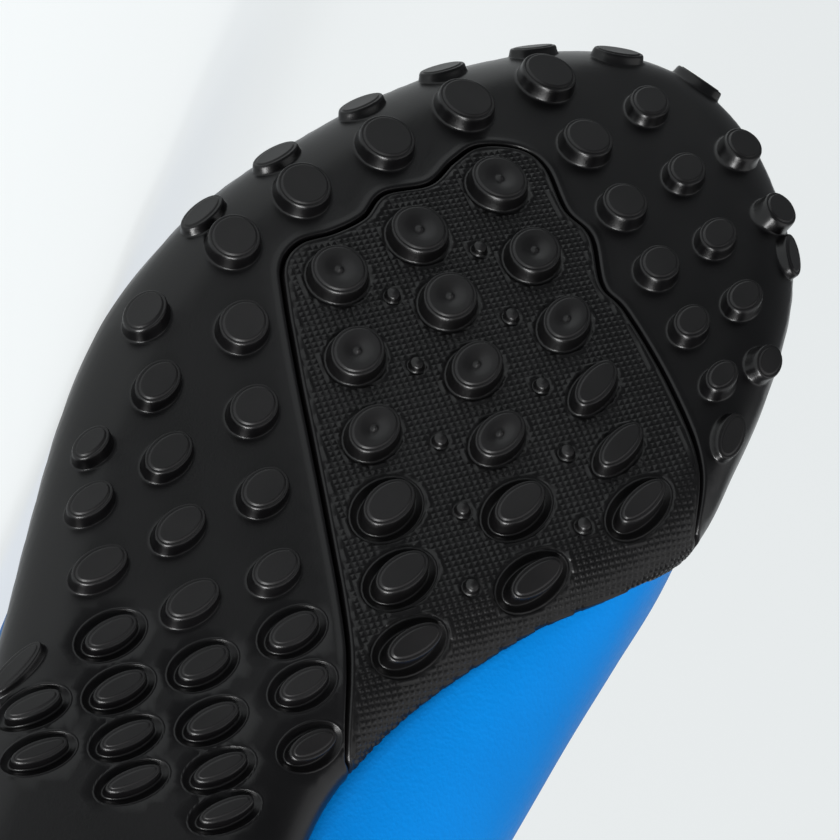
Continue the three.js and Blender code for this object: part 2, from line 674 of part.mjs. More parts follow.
function eyeletHoles() {
  return joined(lacePlaces.flatMap((x) => [-1, 1].map((side) => {
    const w = side * outFromRidge(x, throatHalf(x) + eyeletInset);
    const u = shareAt(x, w);
    const radius = eyeletDiameter / 2;
    const geometry = new THREE.CylinderGeometry(radius, radius, 4 * wall, eyeletSides);
    const turn = new THREE.Quaternion().setFromUnitVectors(new THREE.Vector3(0, 1, 0), skinNormal(u, w));
    geometry.applyQuaternion(turn);
    const p = offSkin(u, w, -wall / 2);
    geometry.translate(p.x, p.y, p.z);
    return toSolid(geometry);
  })));
}

function makeUpper() {
  const shell = skinForm(0, 0).subtract(skinForm(-wall, instepHeight / 3));
  return shell.subtract(collarTool()).subtract(throatTool()).subtract(eyeletHoles());
}

function makeTongue() {
  const [front, back] = [throatEnd + tongueUnderVamp, collarFront - tongueRise];
  const list = Array.from({ length: tongueSteps + 1 }, (_, k) => front + (back - front) * k / tongueSteps);
  const half = (x) => {
    const rounding = clamp01((back + tongueRise - x) / tongueRise);
    const width = throatHalf(Math.max(x, collarFront)) + tongueOverlap;
    return width * Math.sqrt(1 - tongueRounding * rounding ** 2);
  };
  const top = -(wall + 2 * gap);
  return skinSlab(list, half, tongueColumns, top - tongueThickness, top);
}

function makeLaceBar(x) {
  const reach = throatHalf(x) + eyeletInset + eyeletDiameter / 2 + laceOverlap;
  const ends = [x + laceWidth / 2, x - laceWidth / 2];
  return skinSlab(ends, () => reach, laceColumns, 2 * gap, 2 * gap + laceThickness);
}

const form = soleForm(0, 0);
const rubber = new THREE.MeshStandardMaterial({ color: 0x1b1a1c, roughness: 0.42, metalness: 0 });
const texturedRubber = new THREE.MeshStandardMaterial({ color: 0x211f22, roughness: 0.5, metalness: 0 });
const synthetic = new THREE.MeshStandardMaterial({ color: 0x0086d6, roughness: 0.45, metalness: 0 });
const lining = new THREE.MeshStandardMaterial({ color: 0x15171c, roughness: 0.85, metalness: 0 });
const cord = new THREE.MeshStandardMaterial({ color: 0x0f1114, roughness: 0.8, metalness: 0 });

const shoe = new THREE.Group();
function place(name, solid, material) {
  const mesh = new THREE.Mesh(toGeometry(solid), material);
  mesh.name = name;
  shoe.add(mesh);
  return mesh;
}

place('outsole', makeOutsole(form), rubber);
place('forefoot_insert', makeInsert(form), texturedRubber);
place('upper', makeUpper(), synthetic);
place('tongue', makeTongue(), synthetic);
place('insole', makeInsole(), lining);
lacePlaces.forEach((x, k) => place(`lace_bar_${k + 1}`, makeLaceBar(x), cord));

// Centre of volume of the whole shoe
function centreOfVolume(meshes) {
  const sum = new THREE.Vector3();
  let volume = 0;
  const [a, b, c] = [new THREE.Vector3(), new THREE.Vector3(), new THREE.Vector3()];
  for (const { geometry } of meshes) {
    const position = geometry.getAttribute('position');
    for (let i = 0; i < geometry.index.count; i += 3) {
      [a, b, c].forEach((v, k) => v.fromBufferAttribute(position, geometry.index.getX(i + k)));
      const part = a.dot(b.clone().cross(c)) / 6;
      volume += part;
      sum.addScaledVector(a.clone().add(b).add(c), part / 4);
    }
  }
  return sum.divideScalar(volume);
}

// The plane that the shoe lies on: the face of its hull on the outer side with the centre of volume over it
const outerSide = -0.6;

function restingFace(meshes) {
  const points = meshes.flatMap(({ geometry }) => {
    const position = geometry.getAttribute('position');
    const point = (_, i) => new THREE.Vector3().fromBufferAttribute(position, i);
    return Array.from({ length: position.count }, point);
  });
  const centre = centreOfVolume(meshes);
  const hull = new ConvexHull().setFromPoints(points);
  let best = null;
  for (const face of hull.faces) {
    if (face.normal.y > outerSide) continue;
    const corners = [];
    let edge = face.edge;
    do {
      corners.push(edge.head().point);
      edge = edge.next;
    } while (edge !== face.edge);
    const foot = centre.clone().addScaledVector(face.normal, -face.distanceToPoint(centre));
    const inside = corners.every((p, i) => {
      const q = corners[(i + 1) % corners.length];
      return q.clone().sub(p).cross(foot.clone().sub(p)).dot(face.normal) >= 0;
    });
    if (inside && (!best || face.area > best.area)) best = face;
  }
  return best;
}

const face = restingFace(shoe.children);
const up = face.normal.clone().negate();
const toHeel = new THREE.Vector3(-1, 0, 0).addScaledVector(up, up.x).normalize();
const back = up.clone().cross(toHeel);
const turn = new THREE.Matrix4().makeBasis(toHeel, back, up).transpose();
shoe.quaternion.setFromRotationMatrix(turn);
shoe.updateMatrixWorld(true);
const box = new THREE.Box3().setFromObject(shoe, true);
const middle = box.getCenter(new THREE.Vector3());
shoe.position.set(-middle.x, -middle.y, -box.min.z);

const group = new THREE.Group();
group.add(shoe);
export default group;
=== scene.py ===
"""Looks of a right turf shoe that lies on its outer side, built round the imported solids.

The shoe's own axes are x from heel to toe, y to the inner side and z up from the ground under the studs.
Sizes are millimetres in those axes until a mesh is made.
"""
import json
import math

import bpy
import numpy as np
from mathutils import Matrix, Vector
from mathutils.geometry import delaunay_2d_cdt


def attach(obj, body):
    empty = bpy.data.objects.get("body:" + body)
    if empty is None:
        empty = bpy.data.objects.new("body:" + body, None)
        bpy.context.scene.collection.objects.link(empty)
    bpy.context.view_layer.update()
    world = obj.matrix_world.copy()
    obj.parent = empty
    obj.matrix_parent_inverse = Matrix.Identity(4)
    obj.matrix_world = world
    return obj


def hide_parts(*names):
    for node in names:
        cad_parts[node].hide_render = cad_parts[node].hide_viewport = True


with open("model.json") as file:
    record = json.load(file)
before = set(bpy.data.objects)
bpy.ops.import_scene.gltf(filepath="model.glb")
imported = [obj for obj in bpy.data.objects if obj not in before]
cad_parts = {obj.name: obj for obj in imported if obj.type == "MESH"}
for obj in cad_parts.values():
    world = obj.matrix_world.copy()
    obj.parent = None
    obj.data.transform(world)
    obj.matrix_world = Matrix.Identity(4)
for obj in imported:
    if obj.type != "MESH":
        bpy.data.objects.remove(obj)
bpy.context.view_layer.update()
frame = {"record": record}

# sizes of the sole and the upper
sole_length, ball_width, waist_width, heel_width = 288.0, 98.0, 55.0, 64.0
heel_end_radius, toe_end_radius = 32.0, 19.0
heel_tip_across, toe_tip_across = -1.5, 6.5
spring_start, spring_radius = 195.0, 216.0
stud_width, stud_height, low_stud_height, nub_height = 9.4, 2.8, 1.3, 1.4
forefoot_thickness, heel_thickness = 5.0, 12.0
lip_height, toe_lip_height = 5.0, 8.0
roll_rise, lip_inset = 6.5, 0.4
insert_thickness = 2.6
wall, gap = 2.0, 0.3
instep_height, rim_thickness, upper_inset = 92.0, 2.4, 2.0
ridge_heel_end, ridge_toe_end, ridge_shift = 44.0, 246.0, 2.5
collar_back_height, collar_dip_height, collar_front = 80.0, 66.0, 104.0
throat_end, throat_width_toe, throat_width_top = 186.0, 15.0, 30.0
tongue_thickness, tongue_under_vamp, tongue_rise, tongue_overlap = 3.5, 14.0, 20.0, 9.0
insole_thickness, insole_clearance = 3.0, 1.0
lace_width, lace_thickness, lace_count, lace_pitch_inset = 6.5, 1.5, 6, 6.5
eyelet_inset, eyelet_diameter = 7.5, 4.4
PLAN = np.array([sole_length, ball_width])

# at, of, sole outer, sole inner, upper outer, upper inner
OUTLINE = np.array([
    (0.06, heel_width, 0.434, 0.422, 0.395, 0.395), (0.14, heel_width, 0.500, 0.477, 0.480, 0.460),
    (0.24, heel_width, 0.511, 0.447, 0.570, 0.505), (0.33, waist_width, 0.656, 0.335, 0.745, 0.652),
    (0.41, waist_width, 0.751, 0.249, 0.800, 0.692), (0.48, waist_width, 0.858, 0.304, 0.848, 0.719),
    (0.56, ball_width, 0.544, 0.276, 0.510, 0.410), (0.62, ball_width, 0.570, 0.383, 0.530, 0.418),
    (0.665, ball_width, 0.565, 0.441, 0.530, 0.424), (0.72, ball_width, 0.540, 0.439, 0.508, 0.414),
    (0.80, ball_width, 0.462, 0.417, 0.434, 0.389), (0.88, ball_width, 0.362, 0.357, 0.340, 0.335),
    (0.95, ball_width, 0.231, 0.234, 0.215, 0.218),
])
# at, girth, ridge, square
HEIGHTS = np.array([
    (0.00, 0.22, 1.27, 2.1), (0.14, 0.26, 1.33, 2.2), (0.27, 0.30, 1.29, 2.2), (0.37, 0.30, 1.12, 2.1),
    (0.44, 0.28, 0.98, 2.1), (0.53, 0.24, 0.86, 2.1), (0.62, 0.19, 0.765, 2.2), (0.72, 0.16, 0.67, 2.3),
    (0.82, 0.13, 0.59, 2.4), (0.90, 0.11, 0.535, 2.5), (1.00, 0.10, 0.48, 2.6),
])
# at, outer, inner
ROLL = np.array([
    (0.00, 0.09, 0.09), (0.30, 0.10, 0.10), (0.42, 0.10, 0.13), (0.55, 0.10, 0.13), (0.66, 0.11, 0.09),
    (1.00, 0.09, 0.09),
])
# the widest line's share of the way up the last, the ridge's share of the toe spring, and how wide the crease
# between the last's two sides is rounded, in shares of the way from the feather edge to the ridge
girth_share, ridge_spring = 0.22, 0.35
crease_width, crease_fade = 0.07, 0.12


def same_shape(*values):
    return np.broadcast_arrays(*(np.asarray(v, float) for v in values))


def unit(v):
    return v / np.linalg.norm(v, axis=-1, keepdims=True)


def rotation(angle):
    c, s = math.cos(angle), math.sin(angle)
    return np.array([[c, -s], [s, c]])


def halved(low, high, too_far, times=26):
    """The place between low and high from which too_far holds."""
    for _ in range(times):
        middle = (low + high) / 2
        far = too_far(middle)
        low, high = np.where(far, low, middle), np.where(far, middle, high)
    return (low + high) / 2


def through(ats, values, at):
    """A smooth curve through values at ats."""
    at = np.clip(np.asarray(at, float), ats[0], ats[-1])
    i = np.clip(np.searchsorted(ats, at) - 1, 0, len(ats) - 2)
    k = np.arange(len(ats))
    a, b = np.maximum(k - 1, 0), np.minimum(k + 1, len(ats) - 1)
    slope = (values[b] - values[a]) / (ats[b] - ats[a])
    span = ats[i + 1] - ats[i]
    t = (at - ats[i]) / span
    rise = values[i + 1] - values[i]
    start, end = slope[i] * span - rise, rise - slope[i + 1] * span
    return values[i] + t * rise + t * (1 - t) * ((1 - t) * start + t * end)


def ease(v):
    v = np.clip(v, 0, 1)
    return v * v * (3 - 2 * v)


def length_share(u):
    """Share of the length at u, which runs evenly round half the outline, heel tip 0 to toe tip 1."""
    return (1 - np.cos(np.pi * u)) / 2


def centre_across(at):
    return heel_tip_across + (toe_tip_across - heel_tip_across) * at


def spring(x):
    past = np.clip(x - spring_start, 0, 0.9 * spring_radius)
    return spring_radius - np.sqrt(spring_radius ** 2 - past ** 2)


def thickness(x):
    return heel_thickness + (forefoot_thickness - heel_thickness) * ease((x / sole_length - 0.24) / 0.34)


def feather(x):
    return spring(x) + stud_height + thickness(x)


def lip_at(x):
    return lip_height + (toe_lip_height - lip_height) * ease((x / sole_length - 0.80) / 0.16)


def roll_width(side, at):
    """Width of the rolled edge at a share of the length."""
    outer, inner = (through(ROLL[:, 0], ROLL[:, k], at) for k in (1, 2))
    return ball_width * np.where(side < 0, outer, inner)


def fullness(column, inset):
    length = sole_length - 2 * inset
    ats = np.concatenate([[0], OUTLINE[:, 0], [1]])
    inner = OUTLINE[:, column] * OUTLINE[:, 1] / np.sqrt(4 * OUTLINE[:, 0] * (1 - OUTLINE[:, 0]))
    ends = [math.sqrt((r - inset) * length / 2) for r in (heel_end_radius, toe_end_radius)]
    return ats, np.concatenate([[ends[0]], inner, [ends[1]]])


FULL = {("sole", -1): fullness(2, 0), ("sole", 1): fullness(3, 0),
        ("upper", -1): fullness(4, upper_inset), ("upper", 1): fullness(5, upper_inset)}


def outline(kind, u, side):
    """Plan points of the sole's or upper's outline; side is -1 outer, 1 inner."""
    u, side = same_shape(u, side)
    at = length_share(u)
    inset = upper_inset if kind == "upper" else 0
    outer, inner = (through(*FULL[kind, s], at) for s in (-1, 1))
    half = np.where(side < 0, outer, inner) * np.sin(np.pi * u)
    return np.stack([inset + at * (sole_length - 2 * inset), centre_across(at) + side * half], -1)


def inset_point(u, side, inset):
    """Plan points of the sole's outline moved in by inset."""
    u, side, inset = same_shape(u, side, inset)
    along = unit(outline("sole", u + 0.004, side) - outline("sole", u - 0.004, side))
    return outline("sole", u, side) + np.stack([side * along[..., 1] * inset, -side * along[..., 0] * inset], -1)


def edge_lines(u, side):
    """Plan of the upper's feather edge and of its widest line, then the height of each."""
    edge, wide = inset_point(u, side, rim_thickness), outline("upper", u, side)
    low = feather(edge[..., 0])
    return edge, wide, low, low + instep_height * through(HEIGHTS[:, 0], HEIGHTS[:, 1], length_share(u))


def two_sides(u, w):
    """Points of the last's two sides; w -1 at the outer feather edge, 0 on the ridge, 1 at the inner edge."""
    u, w = same_shape(u, w)
    at = length_share(u)
    edge, wide, low, girth = edge_lines(u, np.where(w < 0, -1.0, 1.0))
    climb = 1 - np.abs(w)
    a1 = climb / girth_share * np.pi / 2
    lower = np.concatenate([edge + (wide - edge) * np.sin(a1)[..., None],
                            (low + (girth - low) * (1 - np.cos(a1)))[..., None]], -1)
    ridge_at = (ridge_heel_end + (ridge_toe_end - ridge_heel_end) * at) / sole_length
    top = instep_height * through(HEIGHTS[:, 0], HEIGHTS[:, 2], ridge_at) + ridge_spring * spring(
        ridge_at * sole_length)
    square = through(HEIGHTS[:, 0], HEIGHTS[:, 3], at)
    a2 = np.clip((climb - girth_share) / (1 - girth_share), 0, 1) * np.pi / 2
    c, s = np.cos(a2), np.sin(a2)
    reach = (np.abs(c) ** square + np.abs(s) ** square) ** (-1 / square)
    rx, ry = ridge_at * sole_length, centre_across(ridge_at) + ridge_shift
    upper = np.stack([rx + (wide[..., 0] - rx) * c * reach, ry + (wide[..., 1] - ry) * c * reach,
                      girth + (top - girth) * s * reach], -1)
    return np.where((climb < girth_share)[..., None], lower, upper)


def skin(u, w):
    """Points of the upper's outside: the two sides, with the crease where they meet rounded over."""
    u, w = same_shape(u, w)
    steps = np.array([-1.0, -0.5, 0.0, 0.5, 1.0]).reshape(-1, *[1] * w.ndim)
    near = two_sides(u[None], w[None] + steps * (crease_width * np.exp(-(w / crease_fade) ** 2))[None])
    return np.tensordot(np.array([1, 4, 6, 4, 1]) / 16, near, axes=1)


def skin_normal(u, w):
    u, w = same_shape(u, w)
    e = 0.01
    v, x = np.clip(u, e, 1 - e), np.clip(w, -1 + e, 1 - e)
    return unit(np.cross(skin(v + e, x) - skin(v - e, x), skin(v, x + e) - skin(v, x - e)))


def off_skin(u, w, offset):
    return skin(u, w) + skin_normal(u, w) * np.asarray(offset, float)[..., None]


# from the shoe's axes to the frame
mounts = {m["name"]: m for m in frame["record"]["mounts"]}
up_axis = unit(np.array(mounts["footbed"]["axis"], float))
lean = math.atan2(up_axis[0], up_axis[2]) if up_axis[2] > 0 else math.atan2(-up_axis[0], -up_axis[2])
toe_axis = np.array([-math.cos(lean), 0.0, math.sin(lean)])
AXES = np.stack([toe_axis, np.cross(up_axis, toe_axis), up_axis], 1)
footbed_mount = np.array([45.0, -1.0, 18.1])
ORIGIN = np.array(mounts["footbed"]["pos_m"], float) * 1000 - AXES @ footbed_mount


def to_frame(points):
    return (np.asarray(points, float) @ AXES.T + ORIGIN) / 1000


# helpers for lines, rings and triangles
def strip(a, b):
    """Triangles between two closed rows of vertex numbers of the same length."""
    a, b = np.append(a, a[0]), np.append(b, b[0])
    return np.concatenate([np.stack([a[:-1], a[1:], b[:-1]], 1), np.stack([a[1:], b[1:], b[:-1]], 1)])


def numbered(points, closed=False):
    """Vertex numbers of a grid of points; closed repeats the first column at the end."""
    n = np.arange(points.shape[0] * points.shape[1]).reshape(points.shape[:2])
    return np.concatenate([n, n[:, :1]], axis=1) if closed else n


def quads(a):
    """Triangles over a grid of vertex numbers."""
    p, q, r, s = a[:-1, :-1].ravel(), a[1:, :-1].ravel(), a[1:, 1:].ravel(), a[:-1, 1:].ravel()
    return np.concatenate([np.stack([p, q, r], 1), np.stack([p, r, s], 1)])


def outward(verts, faces):
    """Turns a closed mesh's faces so that they face out."""
    a, b, c = (verts[faces[:, k]] for k in range(3))
    return faces if np.einsum("ij,ij->i", a, np.cross(b, c)).sum() > 0 else faces[:, ::-1]


def turned(verts, faces, towards):
    """Turns all faces over unless they mostly face towards, one direction for each vertex or for all."""
    a, b, c = (verts[faces[:, k]] for k in range(3))
    way = towards if np.ndim(towards) == 1 else towards[faces[:, 0]]
    return faces[:, ::-1] if np.sum(np.cross(b - a, c - a) * way) < 0 else faces


def welded(verts, faces, distance=1e-3):
    """Joins vertices that lie in one place and drops faces that fold up."""
    keys = np.round(verts / distance).astype(np.int64)
    _, first, place = np.unique(keys, axis=0, return_index=True, return_inverse=True)
    f = place.ravel()[faces]
    return verts[first], f[(f[:, 0] != f[:, 1]) & (f[:, 1] != f[:, 2]) & (f[:, 2] != f[:, 0])]


def inside(points, polygon):
    x, y = points[:, 0], points[:, 1]
    odd = np.zeros(len(points), bool)
    for (x1, y1), (x2, y2) in zip(polygon, np.roll(polygon, -1, axis=0)):
        if y1 != y2:
            odd ^= ((y1 > y) != (y2 > y)) & (x < (x2 - x1) * (y - y1) / (y2 - y1) + x1)
    return odd


def far_from(points, line, distance):
    return np.linalg.norm(points[:, None] - line[None], axis=2).min(1) > distance


def triangulate(points, edges):
    """Places, triangles and, for each place, the number of the point it comes from, or -1."""
    v, _, f, origin, _, _ = delaunay_2d_cdt([Vector(p) for p in points.tolist()], edges, [], 1, 1e-6)
    return np.array([tuple(p) for p in v]), np.array(f), np.array([o[0] if o else -1 for o in origin])


def walked(line):
    """Length walked at each point of a line."""
    return np.concatenate([[0], np.cumsum(np.linalg.norm(np.diff(line, axis=0), axis=1))])


def resample(line, step, closed=False):
    """Even points on a line."""
    line = np.vstack([line, line[:1]]) if closed else line
    at = walked(line)
    want = np.linspace(0, at[-1], max(int(round(at[-1] / step)), 2) + 1)
    out = np.stack([np.interp(want, at, line[:, k]) for k in range(line.shape[1])], 1)
    return out[:-1] if closed else out


def grid(step, polygon):
    """Points in rows of triangles inside a polygon."""
    low, high = polygon.min(0), polygon.max(0)
    xs, ys = np.arange(low[0], high[0], step), np.arange(low[1], high[1], step * 0.866)
    x, y = np.meshgrid(xs, ys)
    x = x + (np.arange(len(ys)) % 2)[:, None] * step / 2
    p = np.stack([x.ravel(), y.ravel()], 1)
    return p[inside(p, polygon)]


def spline(points, steps):
    p = np.asarray(points, float)
    p = np.vstack([p[:1], p, p[-1:]])
    out = []
    for i in range(1, len(p) - 2):
        t = np.linspace(0, 1, steps, endpoint=False)[:, None]
        v0, v1 = (p[i + 1] - p[i - 1]) / 2, (p[i + 2] - p[i]) / 2
        a, b = p[i], p[i + 1]
        out.append((2 * a - 2 * b + v0 + v1) * t ** 3 + (-3 * a + 3 * b - 2 * v0 - v1) * t ** 2 + v0 * t + a)
    return np.vstack([*out, p[-1:]])


def offset_line(line, distance):
    """A line moved to its right by distance."""
    along = unit(np.gradient(line, axis=0))
    return line + np.stack([along[:, 1], -along[:, 0]], 1) * distance


def ring_order(f):
    """The longest ring of open edges of triangles f, in their own turning sense."""
    whole = np.vstack([f[:, [0, 1]], f[:, [1, 2]], f[:, [2, 0]]])
    there = {(int(p), int(q)) for p, q in whole}
    after = {p: q for p, q in there if (q, p) not in there}
    longest = []
    while after:
        start, here = after.popitem()
        ring = [start]
        while here != start and here in after:
            ring.append(here)
            here = after.pop(here)
        if len(ring) > len(longest):
            longest = ring
    return np.array(longest)


# The sole's outside, unrolled to a plane
# A place on the plane is the plan place on the flat ground side. Past the start of the rolled edge it runs on
# outwards by the length measured over the edge and up the wall.
RIM_STEPS = 900
rim_u = np.concatenate([np.linspace(0, 1, RIM_STEPS + 1), np.linspace(1, 0, RIM_STEPS + 1)[1:-1]])
rim_side = np.concatenate([np.full(RIM_STEPS + 1, -1.0), np.full(RIM_STEPS - 1, 1.0)])
rim_point = outline("sole", rim_u, rim_side)
rim_in = inset_point(rim_u, rim_side, 1.0) - rim_point
rim_roll = roll_width(rim_side, length_share(rim_u))
ARC = np.linspace(0, np.pi / 2, 49)
near_rim = 0.3


def rim_near(points):
    """For each plan place: the nearest rim point, the way in from there, roll width, rim number, and inset."""
    count, found = len(rim_point), []
    for part in np.array_split(points, max(1, len(points) // 3000)):
        i = np.linalg.norm(part[:, None] - rim_point[None], axis=2).argmin(1)
        nearest, share, start = np.full(len(part), 1e9), np.zeros(len(part)), i.copy()
        for j in ((i - 1) % count, i):
            a, ab = rim_point[j], rim_point[(j + 1) % count] - rim_point[j]
            t = np.clip(((part - a) * ab).sum(1) / (ab * ab).sum(1), 0, 1)
            gone = np.linalg.norm(part - a - t[:, None] * ab, axis=1)
            better = gone < nearest
            nearest, share = np.where(better, gone, nearest), np.where(better, t, share)
            start = np.where(better, j, start)
        k = (start + 1) % count
        base, n = (rows[start] + (rows[k] - rows[start]) * share[:, None] for rows in (rim_point, rim_in))
        n = unit(n)
        towards = part - base
        far = np.linalg.norm(towards, axis=1, keepdims=True)
        straight = towards / np.maximum(far, 1e-9) * np.sign((towards * n).sum(1))[:, None]
        found.append((base, np.where(far > near_rim, straight, n),
                      rim_roll[start] + (rim_roll[k] - rim_roll[start]) * share, start + share))
    base, way, roll, number = (np.concatenate(rows) for rows in zip(*found))
    return base, way, roll, number, ((points - base) * way).sum(1)


def arc_lengths(roll):
    mid = (ARC[1:] + ARC[:-1]) / 2
    speed = np.sqrt((roll[:, None] * np.cos(mid)) ** 2 + (roll_rise * np.sin(mid)) ** 2) * (ARC[1] - ARC[0])
    return np.concatenate([np.zeros((len(roll), 1)), np.cumsum(speed, axis=1)], axis=1)


def ground(points):
    """Places and outward directions on the sole's plain outside, for places on the plane."""
    base, way, roll, _, d = rim_near(np.asarray(points, float))
    arcs, r = arc_lengths(roll), np.arange(len(roll))
    s = roll - d
    on_arc = np.clip(s, 0, arcs[:, -1])
    k = np.clip((arcs < on_arc[:, None]).sum(1), 1, len(ARC) - 1)
    t = (on_arc - arcs[r, k - 1]) / np.maximum(arcs[r, k] - arcs[r, k - 1], 1e-9)
    a = ARC[k - 1] + t * (ARC[k] - ARC[k - 1])
    past = np.maximum(s - arcs[:, -1], 0)
    x = base[:, 0]
    height = thickness(x) + lip_at(x) - roll_rise
    inset = np.where(s > 0, roll * (1 - np.sin(a)), d) + lip_inset * np.clip(past / height, 0, 1)
    plan = base + way * inset[:, None]
    z = spring(plan[:, 0]) + stud_height + roll_rise * (1 - np.cos(a)) * (s > 0) + past
    slope = np.clip(plan[:, 0] - spring_start, 0, None) / np.maximum(spring_radius - spring(plan[:, 0]), 1)
    down = unit(np.stack([slope, np.zeros_like(z), -np.ones_like(z)], 1))
    tilt = np.where(s > 0, np.arctan2(roll_rise * np.sin(a), roll * np.cos(a)), 0)
    out = down * np.cos(tilt)[:, None]
    out[:, :2] -= way * np.sin(tilt)[:, None]
    return np.column_stack([plan, z]), unit(out)


def to_plane(points):
    """Where plan places on the ground side lie on the plane."""
    base, way, roll, _, d = rim_near(points)
    arcs, r = arc_lengths(roll), np.arange(len(roll))
    a = np.arcsin(np.clip(1 - d / roll, 0, 1))
    k = np.clip(np.searchsorted(ARC, a), 1, len(ARC) - 1)
    t = (a - ARC[k - 1]) / (ARC[k] - ARC[k - 1])
    s = arcs[r, k - 1] + t * (arcs[r, k] - arcs[r, k - 1])
    return np.where((d < roll)[:, None], base + way * (roll - s)[:, None], points)


def skin_inset(z, low, girth, bulge):
    """How far in from the rim the upper's skin lies at height z; bulge is the widest line's way past the edge."""
    lift = np.clip((z - low) / (girth - low), 0, 1)
    return rim_thickness - bulge * np.sqrt(1 - (1 - lift) ** 2)


def rim_ends():
    """Lengths over the edge and up the wall at which the sole ends, at its lip or where the upper covers it."""
    x = rim_point[:, 0]
    full = arc_lengths(rim_roll)[:, -1] + thickness(x) + lip_at(x) - roll_rise
    edge, wide, low, girth = edge_lines(rim_u, rim_side)
    bulge = ((wide - edge) * -rim_in).sum(1)
    ends, still_open = full.copy(), np.ones(len(x), bool)
    for t in np.linspace(0.35, 1, 60):
        s = full * t
        here, _ = ground(rim_point + rim_in * (rim_roll - s)[:, None])
        inset = ((here[:, :2] - rim_point) * rim_in).sum(1)
        hit = still_open & (here[:, 2] > low) & (skin_inset(here[:, 2], low, girth, bulge) < inset + 0.15)
        ends[hit] = s[hit] + 0.5
        still_open &= ~hit
    window = 9
    padded = np.concatenate([ends[-(window // 2):], ends, ends[:window // 2]])
    return np.minimum(np.convolve(padded, np.ones(window) / window, "valid"), full)


plane_rim = rim_point + rim_in * (rim_roll - rim_ends())[:, None]


# Studs
# Kinds: round edged foot, dimpled end, flat foot on the insert, moat round it
R, D, F, M, NUB_KIND = "round", "dimpled", "flat", "moated", "nub"
TALL, TOE, LOW = stud_height, 0.85 * stud_height, low_stud_height


def single(x, y, length, width, turn, height):
    """A row of one stud."""
    return 1, (x, y), (x, y), (x, y), (length, width), (length, width), (turn, turn), height, R


# count, from, via, to, first, last, turn, height, kinds
STUD_ROWS = [
    (2, (0.937, 0.237), (0.918, 0.289), (0.900, 0.341), (1.00, 0.70), (0.98, 0.66), (0, 10), TOE, R),
    (5, (0.934, 0.063), (0.853, 0.277), (0.785, 0.440), (0.96, 0.69), (0.80, 0.52), (0, 12), TOE, R),
    (6, (0.914, -0.111), (0.825, 0.166), (0.755, 0.393), (1.00, 0.98), (0.74, 0.47), (0, 10), TALL, R),
    single(0.859, -0.204, 1.02, 1.00, 0, TALL),
    single(0.802, -0.282, 1.00, 0.96, 0, TALL),
    single(0.743, -0.357, 0.96, 0.91, 0, TALL),
    (5, (0.690, -0.409), (0.598, -0.241), (0.5146, -0.082), (0.91, 0.85), (0.91, 0.60), (0, 22), TALL, R),
    (5, (0.622, -0.466), (0.548, -0.320), (0.475, -0.171), (0.89, 0.64), (1.02, 0.57), (5, 24), TALL, R),
    (3, (0.533, -0.429), (0.501, -0.386), (0.468, -0.322), (0.74, 0.45), (1.02, 0.57), (15, 26), TALL, R),
    single(0.396, -0.352, 1.15, 0.36, 18, LOW),
    (3, (0.489, -0.013), (0.463, 0.042), (0.435, 0.097), (0.92, 0.46), (0.88, 0.38), (26, 30), LOW, M),
    (4, (0.447, -0.108), (0.408, -0.029), (0.377, 0.033), (0.93, 0.43), (0.92, 0.30), (28, 36), LOW, M),
    (4, (0.438, -0.255), (0.400, -0.177), (0.368, -0.113), (0.94, 0.43), (0.93, 0.30), (28, 36), LOW, M),
    (2, (0.380, -0.301), (0.369, -0.279), (0.358, -0.257), (0.93, 0.34), (0.93, 0.30), (36, 38), LOW, M),
    (3, (0.268, -0.235), (0.247, -0.095), (0.226, 0.045), (0.89, 0.68), (0.89, 0.68), (30, 30), TALL, R),
    (5, (0.222, -0.262), (0.176, 0.0), (0.130, 0.232), (0.94, 0.77), (0.89, 0.68), (24, 24), TALL, R),
    (5, (0.165, -0.262), (0.118, -0.02), (0.075, 0.200), (0.96, 0.85), (0.89, 0.74), (16, 16), TALL, R),
    (4, (0.106, -0.240), (0.073, -0.075), (0.040, 0.085), (0.96, 0.91), (0.91, 0.85), (0, 0), TALL, R),
    single(0.268, 0.205, 0.89, 0.53, 20, TALL),
    single(0.192, 0.235, 0.89, 0.57, 15, TALL),
]
INSERT_ROWS = [
    (3, (0.813, -0.086), (0.776, 0.025), (0.742, 0.127), (1.00, 0.98), (1.04, 0.74), (0, 6), TALL, D),
    (3, (0.711, 0.219), (0.682, 0.301), (0.656, 0.373), (1.08, 0.52), (1.08, 0.44), (9, 16), TALL, (F, F, M)),
    (6, (0.752, -0.156), (0.670, 0.080), (0.5854, 0.277), (1.00, 0.98), (1.06, 0.47), (0, 24), TALL,
     (D, D, D, D, M, M)),
    (6, (0.702, -0.235), (0.601, -0.017), (0.515, 0.157), (0.98, 0.96), (1.06, 0.47), (0, 28), TALL,
     (D, D, D, M, M, M)),
]
# side, share of the half turn round the outline, place on the roll
RIM_STUDS = [(-1, 0.634, 0.50), (-1, 0.678, 0.52), (-1, 0.730, 0.54), (-1, 0.784, 0.54), (-1, 0.852, 0.56),
             (-1, 0.926, 0.30), (1, 0.970, 0.56), (1, 0.774, 0.56), (1, 0.650, 0.40)]
rim_stud_size, rim_stud_height = np.array([0.95, 0.50]) * stud_width, 0.5 * stud_height
# small nubs between the insert's rows, in shares of sole length and ball width
NUBS = [(0.764, -0.057), (0.731, 0.044), (0.698, 0.142), (0.666, 0.230), (0.629, 0.308),
        (0.707, -0.141), (0.673, -0.051), (0.636, 0.042), (0.603, 0.127), (0.563, 0.197)]

